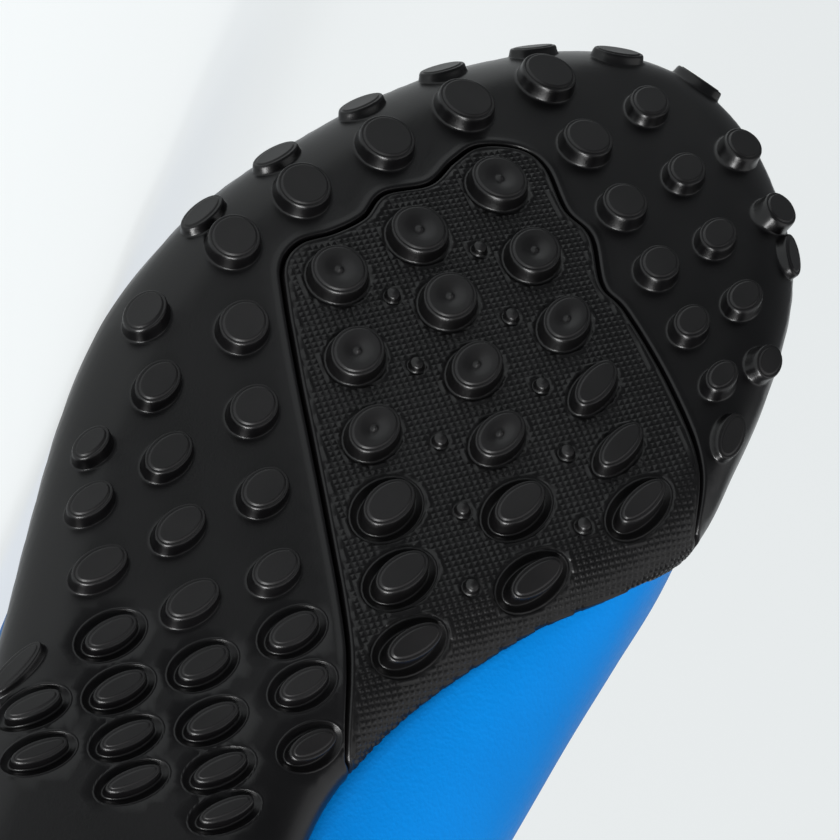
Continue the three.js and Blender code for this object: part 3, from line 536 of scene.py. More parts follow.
# Sections of each kind of stud: offset out from the edge of its flat end, and height as a share of its own height,
# but in mm off the sole for the foot of a moated stud. A nub's start at its middle.
EDGE = [(-0.80, 1.0), (-0.56, 1.0), (-0.46, 0.94), (-0.36, 0.935), (-0.12, 0.955), (0.04, 0.94), (0.16, 0.89),
        (0.25, 0.80), (0.30, 0.68)]
NUB = [(0.0, 1.0), (0.70, 1.0), (0.82, 0.94), (0.98, 0.94), (1.12, 0.84), (1.22, 0.62), (1.34, 0.18), (1.45, 0.05),
       (1.6, 0.0)]
FOOT = {R: [(0.46, 0.34), (0.52, 0.21), (0.62, 0.12), (0.78, 0.05), (0.98, 0.015), (1.2, 0.0)],
        D: [(0.46, 0.32), (0.52, 0.20), (0.62, 0.11), (0.76, 0.04), (0.95, 0.0)],
        F: [(0.44, 0.32), (0.50, 0.20), (0.60, 0.11), (0.74, 0.04), (0.92, 0.0)],
        M: [(0.36, -0.45), (0.46, -0.62), (0.62, -0.68), (0.80, -0.63), (1.65, -0.15), (1.76, 0.0), (1.84, 0.08),
            (1.92, 0.08), (2.0, -0.03), (2.1, -0.05), (2.22, 0.0)],
        NUB_KIND: NUB}
# middle of a stud's end: share of its half size, and height in mm off its flat end
PLAIN_END = [(0.62, 0.0), (0.3, 0.0)]
DISH = [(0.62, 0.0), (0.50, -0.04), (0.38, -0.10), (0.27, -0.19), (0.19, -0.26), (0.13, -0.23), (0.075, -0.05)]


class Stud:
    """One stud on the plane: its place, half sizes, turn, height and kind."""

    def __init__(self, place, half, turn, height, kind):
        self.place, self.half, self.height, self.kind = place, half, height, kind
        self.rotation = rotation(turn)
        self.reach = FOOT[kind][-1][0]
        step = 0.05
        points, outs = ground(np.array([place, place + (step, 0), place + (0, step)]))
        self.point, self.out = points[0], outs[0]
        along, side = self.rotation.T @ (points[1:] - points[0])
        self.along = unit(along - self.out * (along @ self.out))
        across = np.cross(self.along, self.out)
        self.across = across if across @ side >= 0 else -across

    def local(self, points):
        return (points - self.place) @ self.rotation

    def offset(self, points):
        """How far points lie outside the edge of the flat end; negative is inside."""
        q, (a, b) = np.abs(self.local(points)), self.half
        return halved(np.full(len(q), -min(a, b) + 1e-3), np.full(len(q), 40.0),
                      lambda d: (q[:, 0] / (a + d)) ** 2 + (q[:, 1] / (b + d)) ** 2 <= 1, 22)

    def rings(self):
        """Half sizes and heights in mm, ring by ring from the outside in."""
        if self.kind == NUB_KIND:
            return [(r, r, self.height * h) for r, h in NUB[::-1]]
        a, b = self.half
        scale = 1.0 if self.kind == M else self.height
        found = [(a + d, b + d, h * scale) for d, h in FOOT[self.kind][::-1]]
        found += [(a + d, b + d, h * self.height) for d, h in EDGE[::-1] if b + d > 0.5]
        middle = DISH if self.kind == D else PLAIN_END
        return found + [(a * k, b * k, self.height + h) for k, h in middle if b * k < b - 1.0]

    def place_points(self, points, base, normal, height):
        """Real places of points of this stud, from their heights."""
        q = self.local(points)
        share = np.clip(height / self.height, 0, 1)[:, None]
        top = self.point + q[:, :1] * self.along + q[:, 1:] * self.across + self.out * height[:, None]
        return (1 - share) * (base + normal * np.minimum(height, 0)[:, None]) + share * top


def stud_list(rows):
    found = []
    for count, *places_and_sizes, turn, height, kinds in rows:
        start, via, end, first, last = map(np.array, places_and_sizes)
        for k in range(count):
            t = k / (count - 1) if count > 1 else 0
            plan = ((1 - t) * (1 - 2 * t) * start + 4 * t * (1 - t) * via + t * (2 * t - 1) * end) * PLAN
            kind = kinds if isinstance(kinds, str) else kinds[k]
            found.append(Stud(to_plane(plan[None])[0], stud_width * (first + (last - first) * t) / 2,
                              math.radians(turn[0] + (turn[1] - turn[0]) * t), height, kind))
    return found


def rim_stud_list():
    found = []
    for side, u, place in RIM_STUDS:
        roll = float(roll_width(side, length_share(u)))
        plan = inset_point(u, side, roll * (1 - math.sin(place * math.pi / 2)))
        away = inset_point(u, side, 0.0) - inset_point(u, side, 1.0)
        turn = math.atan2(side * away[0], -side * away[1]) + math.pi
        found.append(Stud(to_plane(plan[None])[0], rim_stud_size / 2, turn, rim_stud_height, R))
    return found


# The insert's edge, in shares of sole length and ball width
GROOVE = [(0.395, 0.285), (0.439, 0.164), (0.501, 0.069), (0.568, -0.066), (0.634, -0.206), (0.674, -0.287),
          (0.694, -0.320), (0.712, -0.315), (0.729, -0.276), (0.748, -0.247), (0.770, -0.239), (0.792, -0.183),
          (0.817, -0.168), (0.837, -0.146), (0.850, -0.086), (0.846, -0.034), (0.822, 0.031), (0.812, 0.091),
          (0.782, 0.147), (0.772, 0.203), (0.739, 0.321), (0.699, 0.429), (0.655, 0.490), (0.630, 0.600)]


def groove_on_plane():
    """The insert's edge on the plane, from the heel-side end to the toe-side end, run on past the rim."""
    plan = spline(np.array(GROOVE) * PLAN, 12)
    line = to_plane(plan[rim_near(plan)[4] > 0.25])
    base, way, *_ = rim_near(line[[0, -1]])
    ends = base - way * 30
    return resample(np.vstack([ends[0], line, ends[1]]), 0.5)


groove = groove_on_plane()


def crossing(line, ring):
    """First and last places where an open line crosses a closed ring: (share on line, share on ring, place)."""
    found = []
    a, b = ring, np.roll(ring, -1, axis=0)
    for i, (p, q) in enumerate(zip(line[:-1], line[1:])):
        d, e = q - p, b - a
        den = d[0] * e[:, 1] - d[1] * e[:, 0]
        den = np.where(np.abs(den) < 1e-12, 1e-12, den)
        t = ((a[:, 0] - p[0]) * e[:, 1] - (a[:, 1] - p[1]) * e[:, 0]) / den
        s = ((a[:, 0] - p[0]) * d[1] - (a[:, 1] - p[1]) * d[0]) / den
        for j in np.flatnonzero((t >= 0) & (t < 1) & (s >= 0) & (s < 1)):
            found.append((i + t[j], j + s[j], p + t[j] * d))
    return found[0], found[-1]


def ring_between(ring, start, end):
    """Points of a closed ring from place start to place end, in its own order."""
    n = len(ring)
    if end < start:
        end += n
    inner = np.arange(math.floor(start) + 1, math.ceil(end)) % n
    at = lambda s: ring[int(s) % n] + (ring[(int(s) + 1) % n] - ring[int(s) % n]) * (s - int(s))
    return np.vstack([at(start), ring[inner], at(end)])


def insert_outline():
    """The insert's outline on the plane: its groove side, then the short way home along the rim."""
    first, last = crossing(groove, plane_rim)
    part = np.vstack([first[2], groove[math.floor(first[0]) + 1:math.ceil(last[0])], last[2]])
    home = ring_between(plane_rim, last[1], first[1])
    if len(home) > len(plane_rim) / 2:
        home = ring_between(plane_rim, first[1], last[1])[::-1]
    return part, home


def signed_groove(points):
    """Distance to the insert's edge: positive on the outsole, negative on the insert."""
    far = []
    for part in np.array_split(points, max(1, len(points) // 4000)):
        d = np.linalg.norm(part[:, None] - groove[None, ::4], axis=2)
        near = np.clip(d.argmin(1) * 4, 4, len(groove) - 5)
        best = np.full(len(part), 1e9)
        for shift in range(-4, 4):
            a = groove[near + shift]
            ab = groove[near + shift + 1] - a
            t = np.clip(((part - a) * ab).sum(1) / (ab * ab).sum(1), 0, 1)
            best = np.minimum(best, np.linalg.norm(part - a - t[:, None] * ab, axis=1))
        far.append(best)
    far = np.concatenate(far)
    closing = np.vstack([groove, groove[-1] + (0, 60), groove[0] + (0, 60)])
    return np.where(inside(points, closing), -far, far)


# Sections across the groove: distance from the insert's edge, height off the sole
POCKET = insert_thickness + gap
OUTSOLE_LIP = [(0.46, -POCKET), (0.50, -0.5), (0.58, -0.10), (0.74, 0.08), (1.0, 0.15), (1.3, 0.12), (1.75, 0.03),
               (2.2, 0.0)]
INSERT_LIP = [(0.0, -0.5), (0.08, -0.16), (0.22, 0.02), (0.40, 0.10), (0.60, 0.08), (0.80, 0.0)]


def outsole_height(points):
    d = signed_groove(points)
    return np.where(d < 0.48, -POCKET, np.interp(d, *np.array(OUTSOLE_LIP).T))


def insert_height(points):
    return np.interp(-signed_groove(points), *np.array(INSERT_LIP).T)


def clear_of_studs(points, studs, margin):
    keep = np.ones(len(points), bool)
    for stud in studs:
        near = np.linalg.norm(points - stud.place, axis=1) < max(stud.half) + stud.reach + margin + 1
        index = np.flatnonzero(near & keep)
        if len(index):
            keep[index] = stud.offset(points[index]) > stud.reach + margin
    return keep


class Sheet:
    """Points, edges and heights of one moulded surface on the plane, then its triangles."""

    stud_sides, nub_sides = 28, 14

    def __init__(self):
        self.points, self.heights, self.owners, self.edges, self.size = [], [], [], [], 0

    def add(self, points, heights, owner=-1):
        """Numbers of new points; owner is the number of their stud."""
        self.points.append(np.array(points, float))
        self.heights.append(np.broadcast_to(np.asarray(heights, float), (len(points),)).copy())
        self.owners.append(np.full(len(points), owner))
        self.size += len(points)
        return np.arange(self.size - len(points), self.size)

    def ring(self, numbers):
        self.edges += zip(numbers.tolist(), np.roll(numbers, -1).tolist())

    def studs(self, studs):
        """Ring points of all studs; a ring point nearer to another stud is left out."""
        for number, stud in enumerate(studs):
            close = [o for o in studs if o is not stud and
                     np.linalg.norm(o.place - stud.place) < max(o.half) + max(stud.half) + 4.6]
            count = self.nub_sides if stud.kind == NUB_KIND else self.stud_sides
            turn = np.arange(count) / count * 2 * np.pi
            for a, b, height in stud.rings():
                p = stud.place + np.stack([a * np.cos(turn), b * np.sin(turn)], 1) @ stud.rotation.T
                keep = np.ones(count, bool)
                if close:
                    mine = stud.offset(p) / stud.reach
                    for other in close:
                        keep &= other.offset(p) / other.reach > mine + 0.02
                numbers = self.add(p[keep], height, number)
                if keep.all():
                    self.ring(numbers)
            self.add(stud.place[None], stud.height, number)

    def groove_lines(self, profile, side, limit, studs):
        """Lines along the groove at the distances of profile, where nothing is in their way."""
        for distance, lift in profile:
            line = offset_line(groove, side * distance)
            keep = (np.abs(np.abs(signed_groove(line)) - distance) < 0.03) & inside(line, limit)
            if distance > 0.85:
                keep &= clear_of_studs(line, studs, 0.1)
            index = np.flatnonzero(keep)
            numbers = self.add(line[index], lift)
            next_to = np.diff(index) == 1
            self.edges += zip(numbers[:-1][next_to].tolist(), numbers[1:][next_to].tolist())

    def drop(self, gone):
        """Takes out points, with their edges."""
        alive = ~gone
        number = np.cumsum(alive) - 1
        self.points, self.heights, self.owners = ([np.concatenate(rows)[alive]] for rows in
                                                  (self.points, self.heights, self.owners))
        self.edges = [(int(number[a]), int(number[b])) for a, b in self.edges if alive[a] and alive[b]]

    def build(self, studs, height_of):
        """Places on the plane, real places and triangles that face out."""
        points, heights, owners = map(np.concatenate, (self.points, self.heights, self.owners))
        v, f, origin = triangulate(points, self.edges)
        new = origin < 0
        source = np.where(new, 0, origin)
        for i in np.flatnonzero(new):
            source[i] = np.linalg.norm(points - v[i], axis=1).argmin()
        h, o = heights[source], owners[source]
        base, normal = ground(v)
        real = base + normal * h[:, None]
        for number in np.unique(o[o >= 0]):
            m = o == number
            real[m] = studs[number].place_points(v[m], base[m], normal[m], h[m])
        if new.any():
            real[new] = base[new] + normal[new] * height_of(v[new])[:, None]
        tips = np.array([stud.height for stud in studs])
        self.on_tip = (o >= 0) & (h > 0.9 * tips[np.maximum(o, 0)])
        return v, real, turned(real, f, normal)

    def closed(self, real, f, ring, rows, edge, inner, inner_real, towards):
        """Closes the sheet with rows of points that follow its ring, and a lid over edge and inner on the plane.

        Gives vertices, faces and which of the faces are the flat ends of studs.
        """
        verts, faces, last, count = [real], [f], ring, len(real)
        for row in rows:
            now = np.arange(count, count + len(row))
            verts.append(row)
            faces.append(strip(last, now)[:, ::-1])
            count, last = count + len(row), now
        around = np.arange(len(edge))
        places, lid, origin = triangulate(np.vstack([edge, inner]),
                                          list(zip(around.tolist(), np.roll(around, -1).tolist())))
        lid = lid[inside(places[lid].mean(1), edge)]
        numbers = np.concatenate([last, count + np.arange(len(inner))])[np.maximum(origin, 0)]
        verts = np.vstack([*verts, inner_real])
        faces.append(turned(verts, numbers[lid], towards))
        faces = np.vstack(faces)
        tips = np.zeros(len(faces), bool)
        tips[:len(f)] = self.on_tip[f].all(1)
        return verts, faces, tips


frame_studs = stud_list(STUD_ROWS) + rim_stud_list()
insert_studs = stud_list(INSERT_ROWS) + [Stud(p, [1e-3, 1e-3], math.radians(20), nub_height, NUB_KIND)
                                         for p in to_plane(np.array(NUBS) * PLAN)]
rim_line = resample(plane_rim, 1.5, closed=True)


def outsole_mesh():
    sheet = Sheet()
    sheet.ring(sheet.add(rim_line, outsole_height(rim_line)))
    sheet.groove_lines(OUTSOLE_LIP, 1, rim_line, frame_studs)
    sheet.studs(frame_studs)
    p = grid(2.0, rim_line)
    d = signed_groove(p)
    coarse = np.arange(len(p)) % 5 == 0
    p = p[(d > 3.2) | ((d < -1.0) & coarse)]
    p = p[clear_of_studs(p, frame_studs, 0.6)]
    p = p[far_from(p, rim_line, 1.0)]
    sheet.add(p, outsole_height(p))
    # studs whose feet run into the groove or past the rim lose those points
    points, owners = np.vstack(sheet.points), np.concatenate(sheet.owners)
    along = unit(np.roll(rim_line, -1, axis=0) - np.roll(rim_line, 1, axis=0))
    out = np.stack([along[:, 1], -along[:, 0]], 1)
    out *= np.sign(np.sum(out * (rim_line - rim_line.mean(0))))
    sheet.drop(((owners >= 0) & (signed_groove(points) < 0.95)) | ~inside(points, rim_line + out * 0.02))
    v, real, f = sheet.build(frame_studs, outsole_height)

    # over the lip, down between sole and upper, and a lid under the foot
    ring = ring_order(f)
    base, way, _, number, _ = rim_near(v[ring])
    k = np.round(number).astype(int) % len(rim_point)
    edge, wide, low, girth = edge_lines(rim_u[k], rim_side[k])
    z = real[ring, 2]
    inset = ((real[ring, :2] - base) * way).sum(1)
    hidden = skin_inset(z, low, girth, ((wide - edge) * -way).sum(1)) + 1.0
    hide, lid_inset, lid_drop = np.maximum(inset + 0.5, hidden), rim_thickness + 1.0, 0.1
    last = feather(base[:, 0] + way[:, 0] * lid_inset) - lid_drop
    rows = [np.column_stack([base + way * far[:, None], height]) for far, height in (
        (inset + 0.12, z + 0.3), (inset + 0.45, z + 0.5),
        (np.maximum(inset + 0.8, np.minimum(hide - 0.3, inset + 1.5)), z + 0.5),
        (hide, z + 0.2), (np.maximum(hide, lid_inset), last))]
    edge = rows[-1][:, :2]
    inner = grid(9.0, edge)
    inner = inner[far_from(inner, edge, 4)]
    return sheet.closed(real, f, ring, rows, edge, inner,
                        np.column_stack([inner, feather(inner[:, 0]) - lid_drop]), (0, 0, 1))


# Small raised squares on the insert: spacing along and across their rows, which run square_turn off the shoe's
# length, and the share of a square that its flat top takes
square_pitch, square_turn, square_height, square_top = np.array([1.08, 0.97]), math.radians(44), 0.30, 0.42


def insert_mesh():
    part, home = insert_outline()
    part, home = resample(part, 0.8), resample(home, 1.2)
    ring = np.vstack([part[:-1], home[:-1]])
    sheet = Sheet()
    sheet.ring(sheet.add(ring, insert_height(ring)))
    sheet.groove_lines(INSERT_LIP[1:], -1, ring, insert_studs)
    sheet.studs(insert_studs)

    def free(points):
        """Whether places are inside the insert, clear of its edges and of its studs."""
        found = inside(points, ring)
        p = points[found]
        found[found] = ((-signed_groove(p) > 0.95) & far_from(p, home, 1.0)
                        & clear_of_studs(p, insert_studs, 0.06))
        return found

    # the lattice: corners in the furrows, small flat tops between them
    turn = rotation(square_turn)
    cells = ring @ turn / square_pitch
    low, high = np.floor(cells.min(0)).astype(int), np.ceil(cells.max(0)).astype(int)
    cx, cy = np.meshgrid(np.arange(low[0], high[0]), np.arange(low[1], high[1]), indexing="ij")
    corner = np.stack([cx.ravel(), cy.ravel()], 1)
    number = np.full(cx.shape, -1)
    place = corner * square_pitch @ turn.T
    keep = np.flatnonzero(free(place))
    number.ravel()[keep] = sheet.add(place[keep], 0.0)
    for a, b in ((number[:-1], number[1:]), (number[:, :-1], number[:, 1:])):
        both = (a >= 0) & (b >= 0)
        sheet.edges += zip(a[both].tolist(), b[both].tolist())
    for k in ((-1, -1), (1, -1), (1, 1), (-1, 1)):
        place = (corner + 0.5 + np.array(k) * square_top / 2) * square_pitch @ turn.T
        sheet.add(place[free(place)], square_height)
    v, real, f = sheet.build(insert_studs, insert_height)
    f = f[inside(v[f].mean(1), ring)]

    # down the sides, with the rim's side raised a little, and a lid in the pocket
    edge = ring_order(f)
    base, out = ground(v[edge])
    on_rim = np.abs(signed_groove(v[edge])) > 0.05
    raised = np.where(on_rim, 0.35, 0.0)[:, None] * (0, 0, 1)
    rows = [real[edge] + raised - out * np.where(on_rim, 0.35, 0.6)[:, None], base - out * insert_thickness + raised]
    inner = grid(5.0, v[edge])
    inner = inner[far_from(inner, v[edge], 2)]
    low_base, low_out = ground(inner)
    return sheet.closed(real, f, edge, rows, v[edge], inner, low_base - low_out * insert_thickness,
                        -low_out.mean(0))


# The upper's opening: the collar's side line and the throat seen from above
# share of the collar's length, share of the fall to the dip, share of the rise to the instep
COLLAR = np.array([(-0.12, -0.07, 0), (0.08, 0, 0), (0.27, 0.5, 0), (0.52, 1, 0), (0.76, 1, 0.18), (0.93, 1, 0.58),
                   (1.02, 1, 1)])
collar_top = 1.09 * instep_height
collar = spline(np.stack([COLLAR[:, 0] * collar_front,
                          collar_back_height - COLLAR[:, 1] * (collar_back_height - collar_dip_height)
                          + COLLAR[:, 2] * (collar_top - collar_dip_height)], 1), 12)
up_rows, column_count, closed_share = 46, 260, 0.9999


def throat_half(x):
    share = (throat_end - x) / (throat_end - collar_front)
    return (throat_width_toe + (throat_width_top - throat_width_toe) * share) / 2


def instep_across(x):
    return centre_across(x / sole_length) + ridge_shift


def is_open(p):
    """Whether places on the skin lie in the collar's or the throat's opening."""
    x, y, z = p[..., 0], p[..., 1], p[..., 2]
    above = (x < collar[-1, 0]) & (z > np.interp(x, collar[:, 0], collar[:, 1]))
    off = np.abs(y - instep_across(x))
    slot = (x > collar_front - tongue_rise) & (x <= throat_end) & (off < throat_half(x))
    front = (x > throat_end) & (np.hypot(x - throat_end, y - instep_across(throat_end)) < throat_half(throat_end))
    return above | ((slot | front) & (z > instep_height / 2))


def opening_share(u, side):
    """How far from the feather edge (0) to the ridge (1) the upper reaches at each u."""
    steps = np.linspace(0, 1, 121)
    hits = is_open(skin(u[:, None], side * (1 - steps[None])))
    first = np.where(hits.any(1), hits.argmax(1), len(steps))
    low, high = (steps[np.clip(k, 0, len(steps) - 1)] for k in (first - 1, first))
    return np.where(first < len(steps), halved(low, high, lambda t: is_open(skin(u, side * (1 - t)))), 1.0)


def upper_columns():
    """u values so that columns meet the opening, or else the ridge, about every 1.6 mm."""
    u = np.linspace(0, 1, 3001)
    gone = [np.linalg.norm(np.diff(skin(u, w), axis=0), axis=1) for w in
            (-(1 - opening_share(u, -1)), np.full_like(u, -1))]
    at = np.concatenate([[0], np.cumsum(np.minimum(np.maximum(*gone), 3.0))])
    return np.interp(np.linspace(0, at[-1], column_count), at, u)


def upper_mesh():
    """Shell with the last's shape, a rounded edge round the opening and a flat edge on the sole."""
    u = upper_columns()
    climb = np.linspace(0, 1, up_rows + 1) ** 0.9
    verts, faces, count = [], [], 0
    for side in (-1, 1):
        share = opening_share(u, side)
        uu, w = same_shape(u[:, None], side * (1 - climb[None] * share[:, None]))
        outer, out = skin(uu, w), skin_normal(uu, w)
        # at the heel and toe tips the mean of the two sides
        tip = (uu < 0.01) | (uu > 0.99)
        out = unit(np.where(tip[..., None], out + skin_normal(uu, -w), out))
        inner = outer - out * wall
        n, up = out[:, -1], outer[:, -1] - outer[:, -2]
        up -= n * (up * n).sum(1)[:, None]
        up /= np.maximum(np.linalg.norm(up, axis=1, keepdims=True), 1e-9)
        closed = share > closed_share
        swell = np.where(closed, 0.0, wall / 2)[:, None]
        middle = (outer[:, -1] + inner[:, -1]) / 2
        arc = [middle + n * math.cos(t) * wall / 2 + up * swell * math.sin(t)
               for t in np.radians((30, 60, 90, 120, 150))]
        stack = np.concatenate([outer, np.stack(arc, 1), inner[:, ::-1]], axis=1)
        numbers = numbered(stack) + count
        # where both sides meet on the ridge nothing closes the wall between them
        row = np.arange(numbers.shape[1] - 1)[None]
        kept = ~((closed[1:] & closed[:-1])[:, None] & (row >= up_rows) & (row <= up_rows + len(arc))).ravel()
        sheet = np.vstack([quads(numbers)[np.tile(kept, 2)], quads(numbers[:, [-1, 0]])])
        n_all = np.cross(stack[1:, :-1] - stack[:-1, :-1], stack[:-1, 1:] - stack[:-1, :-1])
        out_rows, heart = 30, (120, 2, 40)
        flip = np.sum(n_all[:, :out_rows] * (stack[:-1, :out_rows] - heart)) < 0
        verts.append(stack.reshape(-1, 3))
        faces.append(sheet[:, ::-1] if flip else sheet)
        count += len(verts[-1])
    return welded(np.vstack(verts), np.vstack(faces))


def share_at(x, w):
    """u where the skin at w has a given x."""
    x, w = same_shape(x, w)
    return halved(np.full(x.shape, 0.02), np.full(x.shape, 0.98), lambda u: skin(u, w)[..., 0] >= x)


def out_from_ridge(x, distance):
    """w where the skin at a given x is a given distance from the ridge."""
    x, distance = same_shape(x, distance)
    middle = np.zeros(x.shape)
    ridge = skin(share_at(x, middle), middle)
    return halved(middle, np.full(x.shape, 0.75),
                  lambda w: np.linalg.norm(skin(share_at(x, w), w) - ridge, axis=-1) >= distance)


def tongue_mesh():
    """Padded slab under the throat, with soft edges."""
    front, back = throat_end + tongue_under_vamp, collar_front - tongue_rise
    x = np.linspace(front, back, 90)
    rounding = np.clip((back + tongue_rise - x) / tongue_rise, 0, 1)
    width = (throat_half(np.maximum(x, collar_front)) + tongue_overlap) * np.sqrt(1 - 0.6 * rounding ** 2)
    place = np.sin(np.linspace(-1, 1, 33) * np.pi / 2)
    full = np.sqrt(np.clip(1 - np.abs(place) ** 5, 0, 1))
    end = np.sqrt(np.clip(1 - np.abs(np.linspace(-1, 1, len(x))) ** 14, 0, 1))
    w = out_from_ridge(x, width)[:, None] * place[None]
    u = share_at(x[:, None], w)
    half = tongue_thickness / 2 * full[None] * end[:, None]
    middle = -(wall + 2 * gap) - tongue_thickness / 2
    over, under = off_skin(u, w, middle + half), off_skin(u, w, middle - half)
    ring = np.concatenate([over, under[:, ::-1][:, 1:-1]], axis=1)
    return welded(ring.reshape(-1, 3), quads(numbered(ring, closed=True)))


def insole_mesh():
    """Footbed with a soft rim, raised a little at its edge."""
    edge = rim_thickness + wall + insole_clearance
    u = np.linspace(0.012, 0.988, 150)
    across = np.linspace(-1, 1, 29)
    a, b = inset_point(u, -1, edge), inset_point(u, 1, edge)
    share = ((np.sin(across * np.pi / 2) + 1) / 2)[None, :, None]
    plan = a[:, None] * (1 - share) + b[:, None] * share
    low = feather(plan[..., 0]) + gap
    rim = np.clip(1 - np.abs(across), 0, 1)[None]
    ends = np.clip(np.minimum(u, 1 - u) * 30, 0, 1)[:, None]
    cup = 0.9 * np.exp(-(rim * 7) ** 2)
    full = np.sqrt(np.clip(1 - (1 - np.clip(rim * 12, 0, 1)) ** 2, 0, 1)) * np.sqrt(ends)
    top, bottom = np.dstack([plan, low + (insole_thickness + cup) * full]), np.dstack([plan, low])
    ring = np.concatenate([top, bottom[:, ::-1][:, 1:-1]], axis=1)
    numbers = numbered(ring)
    faces = [quads(numbered(ring, closed=True))]
    for r, way in ((numbers[0], 1), (numbers[-1], -1)):
        k = len(r)
        cap = [(r[i], r[i + 1], r[k - 1 - i]) for i in range(k // 2 - 1)]
        cap += [(r[i + 1], r[k - 2 - i], r[k - 1 - i]) for i in range(k // 2 - 2)]
        faces.append(np.array(cap)[:, ::way])
    return welded(ring.reshape(-1, 3), np.vstack(faces))


lace_front = throat_end - lace_pitch_inset
lace_pitch = (lace_front - collar_front - lace_pitch_inset) / (lace_count - 1)
lace_places = [lace_front - k * lace_pitch for k in range(lace_count)]
# the lace lies over the skin, higher in the middle, and goes down through the eyelet over its last millimetres
lace_lift, lace_crown, lace_down, lace_bend, lace_pinch = 1.1, 0.35, 4.2, 3.0, 0.42
# across the lace and through it, in shares of half its width and thickness
LACE_SECTION = [(-1.0, 0.0), (-0.86, 0.8), (-0.45, 1.0), (0.0, 0.92), (0.45, 1.0), (0.86, 0.8), (1.0, 0.0),
                (0.86, -0.8), (0.45, -1.0), (0.0, -0.92), (-0.45, -1.0), (-0.86, -0.8)]


def lace_bar_mesh(x):
    """A flat woven lace from eyelet to eyelet, turned down into both holes."""
    out = throat_half(x) + eyelet_inset
    t = np.linspace(-1, 1, 45)
    bend = lace_bend / out
    k = (np.abs(t) - (1 - bend)) / bend
    flat = k < 0
    across = np.where(flat, t, np.copysign(1 - bend * (1 - np.sin(k * np.pi / 2)), t))
    lift = lace_lift + np.where(flat, lace_crown * np.cos(t * np.pi / 2),
                                -lace_down * (1 - np.cos(k * np.pi / 2)))
    width = lace_width * np.where(flat, 1.0, 1 - lace_pinch * ease(k))
    w = float(out_from_ridge(x, out)) * across
    ring = np.stack([off_skin(share_at(x + along * width / 2, w), w, lift + gap + thick * lace_thickness / 2)
                     for along, thick in LACE_SECTION], 1)
    numbers = numbered(ring)
    faces = [quads(numbered(ring, closed=True))]
    for r, way in ((numbers[0], -1), (numbers[-1], 1)):
        faces.append(np.array([(r[0], r[i], r[i + 1]) for i in range(1, len(r) - 1)])[:, ::way])
    return ring.reshape(-1, 3), np.vstack(faces)


# Trim laid on the upper: how far it stands up across its width, sinking under the skin at both edges
stay_width, stay_height, backstay_width, stitch_length, stitch_pitch = 14.0, 0.7, 13.0, 2.1, 3.2
TRIM = [(0.0, -0.5), (0.02, 0.45), (0.06, 0.9), (0.12, 1.0), (0.3, 1.0), (0.5, 1.0), (0.7, 1.0), (0.88, 1.0),
        (0.94, 0.9), (0.98, 0.45), (1.0, -0.5)]
# along a stitch: share of its length, and thickness of the thread
STITCH = [(0.0, 0.3), (0.2, 0.85), (0.5, 1.0), (0.8, 0.85), (1.0, 0.3)]
thread_radius, thread_sides = 0.34, 6
stay_inset, stitch_inset, stay_stitch_inset = 1.2, 3.0, 1.0
ring_tube, ring_clearance = 0.55, 0.5


def round_throat(count, away):
    """u and w of a line round the throat, away from its edge: up the outer side, round the toe end and back."""
    straight = np.linspace(collar_front + 1.0, throat_end, count)
    around = np.linspace(0, np.pi, count)[1:-1]
    near = throat_half(throat_end) + away
    x = np.concatenate([straight, throat_end + near * np.sin(around), straight[::-1]])
    off = np.concatenate([throat_half(straight) + away, near * np.abs(np.cos(around)),
                          throat_half(straight[::-1]) + away])
    half = len(around) // 2
    side = np.concatenate([-np.ones(count + half), np.ones(len(x) - count - half)])
    w = side * out_from_ridge(x, off)
    return share_at(x, w), w


def eyestay_grid(count):
    """Rows of u and w across the strip round the throat."""
    rows = [round_throat(count, stay_inset + t * stay_width) for t, _ in TRIM]
    return np.stack([r[0] for r in rows], 1), np.stack([r[1] for r in rows], 1)


def backstay_grid():
    """u and w of the strip up the middle of the heel."""
    climb = np.linspace(0.03, 1, 40)
    spot = np.linspace(0, 0.2, 400)
    across = np.array([2 * t - 1 for t, _ in TRIM]) * backstay_width / 2
    u, w = np.zeros((len(climb), len(across))), np.zeros((len(climb), len(across)))
    top = opening_share(np.array([0.012]), -1)[0]
    for k, c in enumerate(climb * (top - 0.03)):
        u[k] = np.interp(np.abs(across), walked(skin(spot, np.full(len(spot), 1 - c))), spot)
        w[k] = np.where(across < 0, -1.0, 1.0) * (1 - c)
    return np.clip(u, 0.004, 1), w


def trim_mesh(u, w):
    """A raised strip on the skin: columns run across it as TRIM says, and its ends sink as its edges do."""
    rise = np.array([h for _, h in TRIM])[None] * stay_height * np.ones((len(u), 1))
    end = np.clip(np.minimum(np.arange(len(u)), np.arange(len(u))[::-1]) / 2.0, 0, 1)[:, None]
    p = off_skin(u, w, np.where(rise > 0, rise * end - 0.4 * (1 - end), rise))
    v = p.reshape(-1, 3)
    return v, turned(v, quads(numbered(p)), skin_normal(u, w).reshape(-1, 3))


